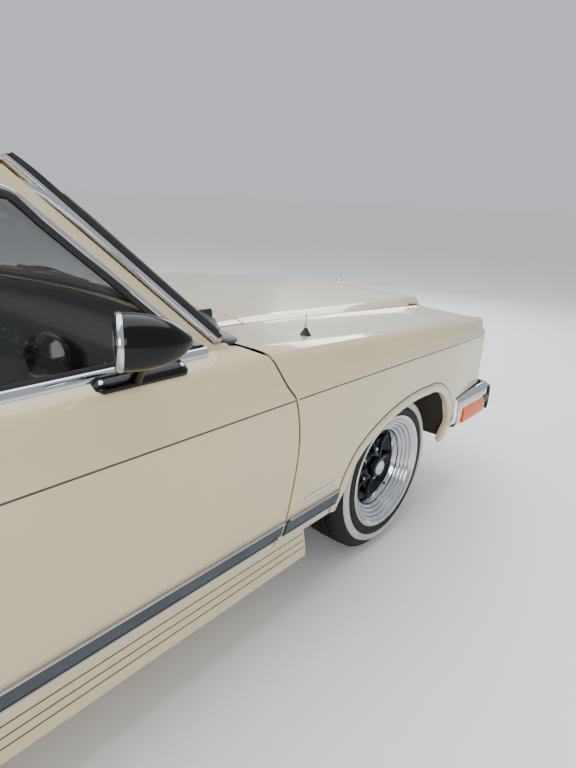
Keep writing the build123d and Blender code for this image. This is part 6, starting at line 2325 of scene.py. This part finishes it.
    def _door_lining(self, side_name: str, side: float, door: str, xs: tuple) -> None:
        """Build the lining of one door with its armrest, handle and winder.

        Args:
            side_name: "right" or "left".
            side: -1 on the right, +1 on the left.
            door: "front" or "rear".
            xs: Least and greatest x, or the x values in order.
        """
        body = f"{door}_door_{side_name}"
        y_back, y_front = side * 0.7955, side * 0.7865
        bm = bmesh.new()
        self.prism(bm, [(xs[0], 0.372), (xs[1], 0.372), (xs[1], 0.905), (xs[0], 0.905)], y_back, y_front, 0.0035, 3)
        piece(f"door_card_{door}_{side_name}", bm, VINYL, body, 40)
        bm = bmesh.new()
        mid = (xs[0] + xs[1]) / 2
        wide = (xs[1] - xs[0]) / 2
        arm = [(mid - wide * 0.62, 0.592), (mid - wide * 0.55, 0.570), (mid + wide * 0.35, 0.570),
               (mid + wide * 0.5, 0.600),
               (mid + wide * 0.52, 0.640), (mid + wide * 0.30, 0.640), (mid - wide * 0.60, 0.634)]
        self.prism(bm, arm, side * 0.788, side * 0.742, 0.009, 3)
        piece(f"arm_rest_{door}_{side_name}", bm, VINYL, body, 45)
        bm = bmesh.new()
        for z in (0.430, 0.700, 0.850):
            path = [Vector((x, y_front, z)) for x in (xs[0] + 0.012, xs[1] - 0.012)]
            sweep(bm, path, [Vector((0, -side, 0))] * 2,
                  [(-0.0035, -0.001), (-0.0030, 0.0018), (0.0030, 0.0018), (0.0035, -0.001)])
        spot = Vector((mid - wide * 0.25, y_front, 0.735))
        turned_knob(bm, spot, Vector((0, -side, 0)), [(0.020, 0), (0.020, 0.004), (0.012, 0.012), (0.009, 0.014)], 28)
        tube(bm, [spot + Vector((0, -side * 0.012, 0)), spot + Vector((0.05, -side * 0.016, -0.028)),
                  spot + Vector((0.105, -side * 0.018, -0.055))], [0.006, 0.005, 0.006], 10)
        turned_knob(bm, spot + Vector((0.105, -side * 0.014, -0.055)), Vector((0, -side, 0)),
                    [(0.009, 0), (0.011, 0.012), (0.008, 0.022)], 20)
        tube(bm, [Vector((mid + wide * 0.70, y_front, 0.790)),
                  Vector((mid + wide * 0.66, y_front - side * 0.014, 0.790)),
                  Vector((mid + wide * 0.52, y_front - side * 0.016, 0.786))], [0.007, 0.006, 0.005], 10)
        piece(f"door_trims_{door}_{side_name}", bm, CHROME, body, 45)

    @staticmethod
    def _grid(name: str, xs: list, ys: list, height: Callable[[float, float], float | None], finish: Finish,
              thick: float, slot: str) -> bpy.types.Object | None:
        """Lay a thick sheet over a grid of heights.

        Args:
            name: Name of the piece.
            xs: Positions along the car.
            ys: Positions across the car.
            height: Height at x and y, or None outside.
            finish: Finish to show.
            thick: Thickness.
            slot: Not used.
        Returns:
            The piece, or None where nothing is under it.
        """
        bm = bmesh.new()
        layers = []
        for lift in (0.0, thick):
            grid = {}
            for i, x in enumerate(xs):
                for j, y in enumerate(ys):
                    z = height(x, y)
                    if z is not None:
                        grid[i, j] = bm.verts.new((x, y, z + lift))
            layers.append(grid)
        low, high = layers
        used = [(i, j) for i in range(len(xs) - 1) for j in range(len(ys) - 1)
                if all(k in low for k in ((i, j), (i + 1, j), (i + 1, j + 1), (i, j + 1)))]
        for i, j in used:
            ring = ((i, j), (i + 1, j), (i + 1, j + 1), (i, j + 1))
            bm.faces.new([high[k] for k in ring])
            bm.faces.new([low[k] for k in reversed(ring)])
        cells = set(used)
        for i, j in used:
            for (di, dj), a, b in (((0, -1), (i, j), (i + 1, j)), ((1, 0), (i + 1, j), (i + 1, j + 1)),
                                   ((0, 1), (i + 1, j + 1), (i, j + 1)), ((-1, 0), (i, j + 1), (i, j))):
                if (i + di, j + dj) not in cells:
                    bm.faces.new((low[a], low[b], high[b], high[a]))
        for vertex in [v for v in bm.verts if not v.link_faces]:
            bm.verts.remove(vertex)
        if not bm.verts:
            bm.free()
            return None
        made = piece(name, bm, finish, "car", 50)
        return made

    def _carpet(self) -> None:
        """Lay the carpet, boot mat and parcel shelf."""
        skin = PanelSkin(["floor_pan"])

        def floor_top(x: float, y: float) -> float | None:
            """Find the top of the floor.

            Args:
                x: Position along the car.
                y: Position across the car.
            Returns:
                Height, or None off the floor.
            """
            hit = skin.cast(Vector((x, y, 0.60)), Vector((0, 0, -1)))
            return None if hit is None or hit[0].z > 0.50 else hit[0].z + 0.0010
        self._grid("cabin_carpet", span(-0.884, 1.020, 0.016), span(-0.672, 0.672, 0.016), floor_top, CARPET, 0.0035,
                   "seat")

        def boot_top(x: float, y: float) -> float | None:
            """Find the top of the boot floor.

            Args:
                x: Position along the car.
                y: Position across the car.
            Returns:
                Height, or None off the floor.
            """
            hit = skin.cast(Vector((x, y, 0.66)), Vector((0, 0, -1)))
            return None if hit is None or hit[0].z > 0.50 else hit[0].z + 0.0010
        self._grid("boot_mat", span(-2.340, -1.030, 0.04), span(-0.560, 0.560, 0.04), boot_top, CARPET, 0.005, "seat")

        def shelf_top(x: float, y: float) -> float | None:
            """Find the top of the parcel shelf.

            Args:
                x: Position along the car.
                y: Position across the car.
            Returns:
                Height, or None off the shelf.
            """
            hit = shell.cast(Vector((x, y, 1.02)), Vector((0, 0, -1)))
            return None if hit is None or not 0.93 < hit[0].z < 0.96 else hit[0].z + 0.0008
        shell = PanelSkin(["body_shell"])
        self._grid("parcel_shelf", span(-1.150, -0.915, 0.02), span(-0.660, 0.660, 0.03), shelf_top, CARPET, 0.006,
                   "seat")

    def _head_lining(self) -> None:
        """Hang the lining under the roof."""
        shell = PanelSkin(["body_shell"])

        def roof_inner(x: float, y: float) -> float | None:
            """Find the inner face of the roof.

            Args:
                x: Position along the car.
                y: Position across the car.
            Returns:
                Height, or None off the roof.
            """
            hit = shell.cast(Vector((x, y, 1.10)), Vector((0, 0, 1)))
            return None if hit is None or hit[0].z < 1.28 else hit[0].z - 0.0075
        self._grid("head_lining", span(-0.640, 0.300, 0.02), span(-0.600, 0.600, 0.02), roof_inner, LINER, 0.0055,
                   "seat")

    def _small_parts(self) -> None:
        """Build the cabin mirror, sun visors and pedals."""
        bm = bmesh.new()
        rounded_box(bm, (0.262, -0.115, 1.262), (0.285, 0.115, 1.314), 0.010, 4)
        tube(bm, [Vector((0.280, 0, 1.290)), Vector((0.302, 0, 1.318)), Vector((0.306, 0, 1.344))],
             [0.006, 0.007, 0.011], 12)
        piece("cabin_mirror", bm, BLACK_SATIN, "car", 50)
        bm = bmesh.new()
        rounded_box(bm, (0.2605, -0.106, 1.269), (0.2625, 0.106, 1.307), 0.0008, 2)
        piece("cabin_mirror_glass", bm, POLISHED, "car")
        for side_name, side in (("right", RIGHT), ("left", LEFT)):
            bm = bmesh.new()
            y0, y1 = sorted((side * 0.150, side * 0.540))
            rounded_box(bm, (0.165, y0, 1.338), (0.305, y1, 1.350), 0.0055, 3)
            piece(f"sun_visor_{side_name}", bm, LINER, "car", 50)
        bm = bmesh.new()
        for y, wide, x, z in ((0.300, 0.026, 0.900, 0.330), (0.420, 0.060, 0.905, 0.390)):
            rounded_box(bm, (x, y - wide, z), (x + 0.014, y + wide, z + (0.14 if wide < 0.04 else 0.055)), 0.004, 2)
            tube(bm, [Vector((x + 0.012, y, z + 0.04)), Vector((x + 0.050, y, z + 0.20)), Vector((1.000, y, z + 0.30))],
                 0.007, 8)
        piece("pedals", bm, BLACK_SATIN, "car", 45)


# ---------------------------------------------------------------- wheelhouses, engine dress, springs and dampers
@dataclass
class Underside:
    """Dark wheelhouse liners, coil springs, dampers and the dress of the engine bay."""

    front_axle_x: float = 1.566
    rear_axle_x: float = -1.225
    front_liner_y: float = 0.508
    rear_liner_y: float = 0.640

    def build(self) -> None:
        """Build what shows through the arches, below, and under the hood."""
        for side_name, side in (("right", RIGHT), ("left", LEFT)):
            self._liner("front", self.front_axle_x, side_name, side, self.front_liner_y)
            self._liner("rear", self.rear_axle_x, side_name, side, self.rear_liner_y)
            self._spring(side_name, side)
            self._rear_damper(side_name, side)
        self._engine()

    @staticmethod
    def _liner(end: str, x: float, side_name: str, side: float, deep: float) -> None:
        """Build one wheelhouse liner.

        Args:
            end: "front" or "rear".
            x: Middle of the wheel opening.
            side_name: "right" or "left".
            side: -1 on the right, +1 on the left.
            deep: Depth inwards.
        """
        radius = 0.424
        path = [(x - radius, 0.345)] + [(x - radius * math.cos(t), 0.335 + (radius - 0.005) * math.sin(t)) for t in (
            math.pi * k / 40 for k in range(1, 40))] + [(x + radius, 0.345)]
        if end == "rear":
            path = [(px, min(pz, 0.684)) for px, pz in path]
        bm = bmesh.new()
        rings = []
        for px, pz in path:
            way = Vector((px - x, 0, pz - 0.335)).normalized()
            out = 0.900 if pz < 0.60 else 0.905
            rings.append([bm.verts.new(Vector((px, side * y, pz)) + way * off) for y, off in (
                (deep, 0.0), (deep + (out - deep) * 0.5, 0.0), (out, 0.0), (out, 0.003),
                (deep + (out - deep) * 0.5, 0.003), (deep, 0.003))])
        ring_faces(bm, rings)
        bmesh.ops.recalc_face_normals(bm, faces=bm.faces)
        piece(f"wheelhouse_liner_{end}_{side_name}", bm, UNDERBODY, "car", 40)

    @staticmethod
    def _spring(side_name: str, side: float) -> None:
        """Build one coil spring and its damper.

        Args:
            side_name: "right" or "left".
            side: -1 on the right, +1 on the left.
        """
        bm = bmesh.new()
        turns, steps = 6.5, 22
        path = [Vector((1.566 + 0.046 * math.cos(2 * math.pi * k / steps),
                        side * (0.555 + 0.046 * math.sin(2 * math.pi * k / steps)),
                        0.245 + 0.160 * k / (turns * steps))) for k in range(int(turns * steps))]
        tube(bm, path, 0.0065, 8)
        piece(f"coil_spring_{side_name}", bm, BLACK_SATIN, "car", 60)
        bm = bmesh.new()
        turned_knob(bm, Vector((1.566, side * 0.555, 0.238)), Vector((0, 0, 1)),
                    [(0.022, 0), (0.024, 0.02), (0.024, 0.10), (0.011, 0.105), (0.011, 0.172)], 24)
        piece(f"front_damper_{side_name}", bm, STEEL, "car", 45)

    @staticmethod
    def _rear_damper(side_name: str, side: float) -> None:
        """Build one rear damper.

        Args:
            side_name: "right" or "left".
            side: -1 on the right, +1 on the left.
        """
        bm = bmesh.new()
        low, high = Vector((-1.290, side * 0.440, 0.290)), Vector((-1.360, side * 0.400, 0.415))
        way = high - low
        turned_knob(bm, low, way, [(0.020, 0), (0.024, 0.01), (0.024, way.length * 0.62), (0.014, way.length * 0.65),
                                   (0.014, way.length)], 20)
        for x in (-0.06, 0.04):
            turned_knob(bm, Vector((-1.225 + x, side * 0.505, 0.258)), Vector((0, 0, 1)), [(0.008, 0), (0.008, 0.07)],
                        6)
        piece(f"rear_damper_{side_name}", bm, STEEL, "car", 45)

    @staticmethod
    def _engine() -> None:
        """Dress the engine bay."""
        low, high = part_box("drivetrain")
        LOG.info("engine dress over x %.3f to %.3f", low[0], high[0])
        top = 0.770
        bm = bmesh.new()
        turned_knob(bm, Vector((1.520, 0, top + 0.0005)), Vector((0, 0, 1)),
                    [(0.060, 0.0), (0.062, 0.018), (0.150, 0.020), (0.175, 0.030), (0.178, 0.062), (0.160, 0.074),
                     (0.060, 0.080), (0.012, 0.082)], 64)
        tube(bm, [Vector((1.600, -0.060, top + 0.045)), Vector((1.780, -0.110, top + 0.040)),
                  Vector((1.930, -0.150, top + 0.020))], [0.036, 0.034, 0.036], 20)
        piece("air_cleaner", bm, BLACK_GLOSS, "car", 40)
        bm = bmesh.new()
        for side in (-1, 1):
            y0, y1 = sorted((side * 0.135, side * 0.240))
            rounded_box(bm, (1.260, y0, top - 0.010), (1.840, y1, top + 0.052), 0.014, 3)
        piece("rocker_covers", bm, SLATE, "car", 45)
        bm = bmesh.new()
        turned_knob(bm, Vector((1.520, 0, top + 0.0822)), Vector((0, 0, 1)),
                    [(0.016, 0), (0.016, 0.004), (0.005, 0.008), (0.004, 0.016)], 6)
        for side in (-1, 1):
            for k in range(6):
                turned_knob(bm, Vector((1.300 + k * 0.100, side * 0.1875, top + 0.0515)), Vector((0, 0, 1)),
                            [(0.006, 0), (0.006, 0.005)], 6)
        piece("engine_nuts", bm, CHROME, "car")
        bm = bmesh.new()
        rounded_box(bm, (2.145, -0.325, 0.425), (2.195, 0.325, 0.765), 0.006, 2)
        for k in range(30):
            z = 0.440 + k * 0.0105
            rounded_box(bm, (2.141, -0.300, z), (2.146, 0.300, z + 0.003), 0.0005, 1)
        piece("radiator", bm, BLACK_SATIN, "car", 45)
        bm = bmesh.new()
        for k in range(6):
            t = 2 * math.pi * k / 6
            way = Vector((0, math.cos(t), math.sin(t)))
            turn = Vector((0.5, -math.sin(t) * 0.86, math.cos(t) * 0.86))
            hub = Vector((2.020, 0, 0.595))
            sweep(bm, [hub + way * r for r in (0.03, 0.08, 0.14)], [turn.cross(way)] * 3,
                  [(-0.026, -0.001), (-0.026, 0.001), (0.026, 0.001), (0.026, -0.001)])
        turned_knob(bm, Vector((1.901, 0, 0.595)), Vector((1, 0, 0)),
                    [(0.060, 0.0), (0.060, 0.02), (0.030, 0.024), (0.030, 0.130), (0.020, 0.135)], 28)
        piece("cooling_fan", bm, STEEL, "car", 45)
        bm = bmesh.new()
        rounded_box(bm, (1.905, -0.470, 0.560), (2.125, -0.345, 0.745), 0.006, 2)
        rounded_box(bm, (1.900, -0.480, 0.404), (2.130, -0.338, 0.560), 0.004, 2)
        piece("battery", bm, BLACK_SATIN, "car", 45)
        bm = bmesh.new()
        turned_knob(bm, Vector((1.040, 0.330, 0.640)), Vector((1, 0, 0)),
                    [(0.105, 0.0), (0.118, 0.015), (0.118, 0.060), (0.090, 0.085), (0.030, 0.090), (0.026, 0.150)], 40)
        rounded_box(bm, (1.150, 0.295, 0.620), (1.300, 0.365, 0.690), 0.010, 3)
        piece("brake_servo", bm, STEEL, "car", 45)
        bm = bmesh.new()
        tube(bm, [Vector((1.900, 0.120, 0.700)), Vector((1.990, 0.160, 0.730)), Vector((2.080, 0.210, 0.735)),
                  Vector((2.146, 0.220, 0.735))], 0.020, 14)
        tube(bm, [Vector((1.900, -0.150, 0.430)), Vector((2.010, -0.200, 0.440)), Vector((2.146, -0.240, 0.450))],
             0.022, 14)
        piece("radiator_hoses", bm, RUBBER, "car", 60)


# ---------------------------------------------------------------- CAD panels
class Panels:
    """Finishes and soft shading for the CAD nodes that stay."""

    PAINTED = ("body_shell", "fender_right", "fender_left", "front_panel", "hood", "trunk_lid", "door_front_right",
               "door_front_left", "door_rear_right", "door_rear_left")
    FINISH = {"floor_pan": UNDERBODY, "front_bumper": CHROME, "rear_bumper": CHROME, "grille": CHROME,
              "hood_ornament": CHROME, "windshield": GLASS, "rear_window": GLASS, "glass_front_right": GLASS,
              "glass_front_left": GLASS, "glass_rear_right": GLASS, "glass_rear_left": GLASS, "drivetrain": IRON,
              "front_suspension": UNDERBODY, "rear_axle": IRON, "knuckle_right": IRON, "knuckle_left": IRON,
              "front_seats": VINYL, "rear_seat": VINYL, "dashboard": DASH, "steering_wheel": DASH,
              "mirror_right": BLACK_GLOSS, "mirror_left": BLACK_GLOSS, "head_lamps": CLEAR_LENS,
              "turn_lamps": AMBER_LENS, "tail_lamps": RED_LENS, "exhaust": STEEL, "fuel_tank": STEEL,
              "sill_boards": PAINT}

    def build(self) -> None:
        """Give every CAD node its material and soft normals."""
        for name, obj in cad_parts.items():
            finish = PAINT if name in self.PAINTED else self.FINISH.get(name, BLACK_SATIN)
            material = FINISHES.get(finish)
            if obj.data.materials:
                for index in range(len(obj.data.materials)):
                    obj.data.materials[index] = material
            else:
                obj.data.materials.append(material)
            smooth_shading(obj, 24.0 if name in self.PAINTED else 32.0)


# ---------------------------------------------------------------- studio
@dataclass(frozen=True)
class SoftLight:
    """One square-ish area light, in metres and watts."""

    name: str
    place: tuple
    aim: tuple
    size: float
    watts: float
    tint: tuple


@dataclass
class Studio:
    """Pale floor, soft lights and the camera at the photograph's angle."""

    camera_at: tuple = (-0.176, -1.829, 1.324)
    angles: tuple = (40.23, -18.81, 2.73)
    lens_mm: float = 25.9
    lights: tuple = (
        SoftLight("sky_soft", (0.8, 0.6, 5.6), (0.8, 0.0, 0.8), 8.5, 430, (0.93, 0.965, 1.0)),
        SoftLight("side_soft", (-4.5, -5.5, 3.0), (0.2, -0.9, 0.6), 4.0, 230, (1.0, 0.975, 0.93)),
        SoftLight("back_soft", (-5.0, 4.0, 4.5), (-0.5, 0.0, 0.8), 4.0, 150, (0.94, 0.97, 1.0)),
        SoftLight("nose_soft", (6.5, 2.0, 3.2), (1.8, 0.0, 0.7), 3.5, 140, (0.97, 0.98, 1.0)))

    def build(self) -> None:
        """Add the floor, the world light, the soft lights and the camera."""
        self._floor()
        self._world()
        for light in self.lights:
            self._area(light)
        self._camera()

    def _floor(self) -> None:
        """One wide pale disc, past the horizon of every view."""
        bm = bmesh.new()
        rings = [[bm.verts.new((r * math.cos(t), r * math.sin(t),
                                0.0)) for t in (2 * math.pi * k / 64 for k in range(64))]
                 for r in (0.5, 4.0, 12.0, 40.0, 160.0)]
        ring_faces(bm, rings, True, False, False)
        bm.faces.new(rings[0])
        bmesh.ops.recalc_face_normals(bm, faces=bm.faces)
        mesh = bpy.data.meshes.new("studio_floor")
        bm.to_mesh(mesh)
        bm.free()
        mesh.materials.append(FINISHES.get(FLOOR))
        mesh.shade_smooth()
        floor = bpy.data.objects.new("studio_floor", mesh)
        bpy.context.scene.collection.objects.link(floor)

    @staticmethod
    def _world() -> None:
        """Light the scene with an even pale sky."""
        world = bpy.data.worlds.new("studio_world")
        bpy.context.scene.world = world
        world.use_nodes = True
        background = world.node_tree.nodes["Background"]
        background.inputs["Color"].default_value = (0.80, 0.84, 0.90, 1.0)
        background.inputs["Strength"].default_value = 0.78

    @staticmethod
    def _area(soft: SoftLight) -> None:
        """Add one soft area light.

        Args:
            soft: Place, aim, size, power and colour of the light.
        """
        light = bpy.data.lights.new(soft.name, "AREA")
        light.shape = "RECTANGLE"
        light.size, light.size_y = soft.size, soft.size * 0.7
        light.energy = soft.watts
        light.color = soft.tint
        obj = bpy.data.objects.new(soft.name, light)
        obj.location = soft.place
        obj.rotation_euler = (Vector(soft.aim) - Vector(soft.place)).to_track_quat("-Z", "Y").to_euler()
        bpy.context.scene.collection.objects.link(obj)

    def _camera(self) -> None:
        """Set the camera at the photograph's angle."""
        yaw, pitch, roll = (math.radians(a) for a in self.angles)
        look = Vector((math.cos(pitch) * math.cos(yaw), math.cos(pitch) * math.sin(yaw), math.sin(pitch)))
        right = look.cross(Vector((0, 0, 1))).normalized()
        up = right.cross(look)
        right, up = (math.cos(roll) * right + math.sin(roll) * up, -math.sin(roll) * right + math.cos(roll) * up)
        camera = bpy.data.cameras.new("camera")
        camera.lens = self.lens_mm
        camera.sensor_width = 36.0
        camera.clip_start = 0.02
        obj = bpy.data.objects.new("camera", camera)
        turn = Matrix((right, up, -look)).transposed()
        obj.matrix_world = Matrix.Translation(Vector(self.camera_at)) @ turn.to_4x4()
        bpy.context.scene.collection.objects.link(obj)
        bpy.context.scene.camera = obj


# ---------------------------------------------------------------- the whole car
def main() -> None:
    """Build the visual model on its frame."""
    logging.basicConfig(level=logging.INFO, format="%(message)s")
    Studio().build()
    Panels().build()
    for end in ("front", "rear"):
        for side_name in ("right", "left"):
            RoadWheel(end, side_name).build()
    LOG.info("wheels done")
    for side_name in ("right", "left"):
        FlankTrim(side_name).build()
        Mirror(side_name).build()
    Glazing().build()
    Bumper(True).build()
    Bumper(False).build()
    Lamps().build()
    OutsideFittings().build()
    LOG.info("trim done")
    Cabin().build()
    Underside().build()
    LOG.info("cabin and underside done")
    Upholstery().build()


if __name__ == "__main__":
    main()
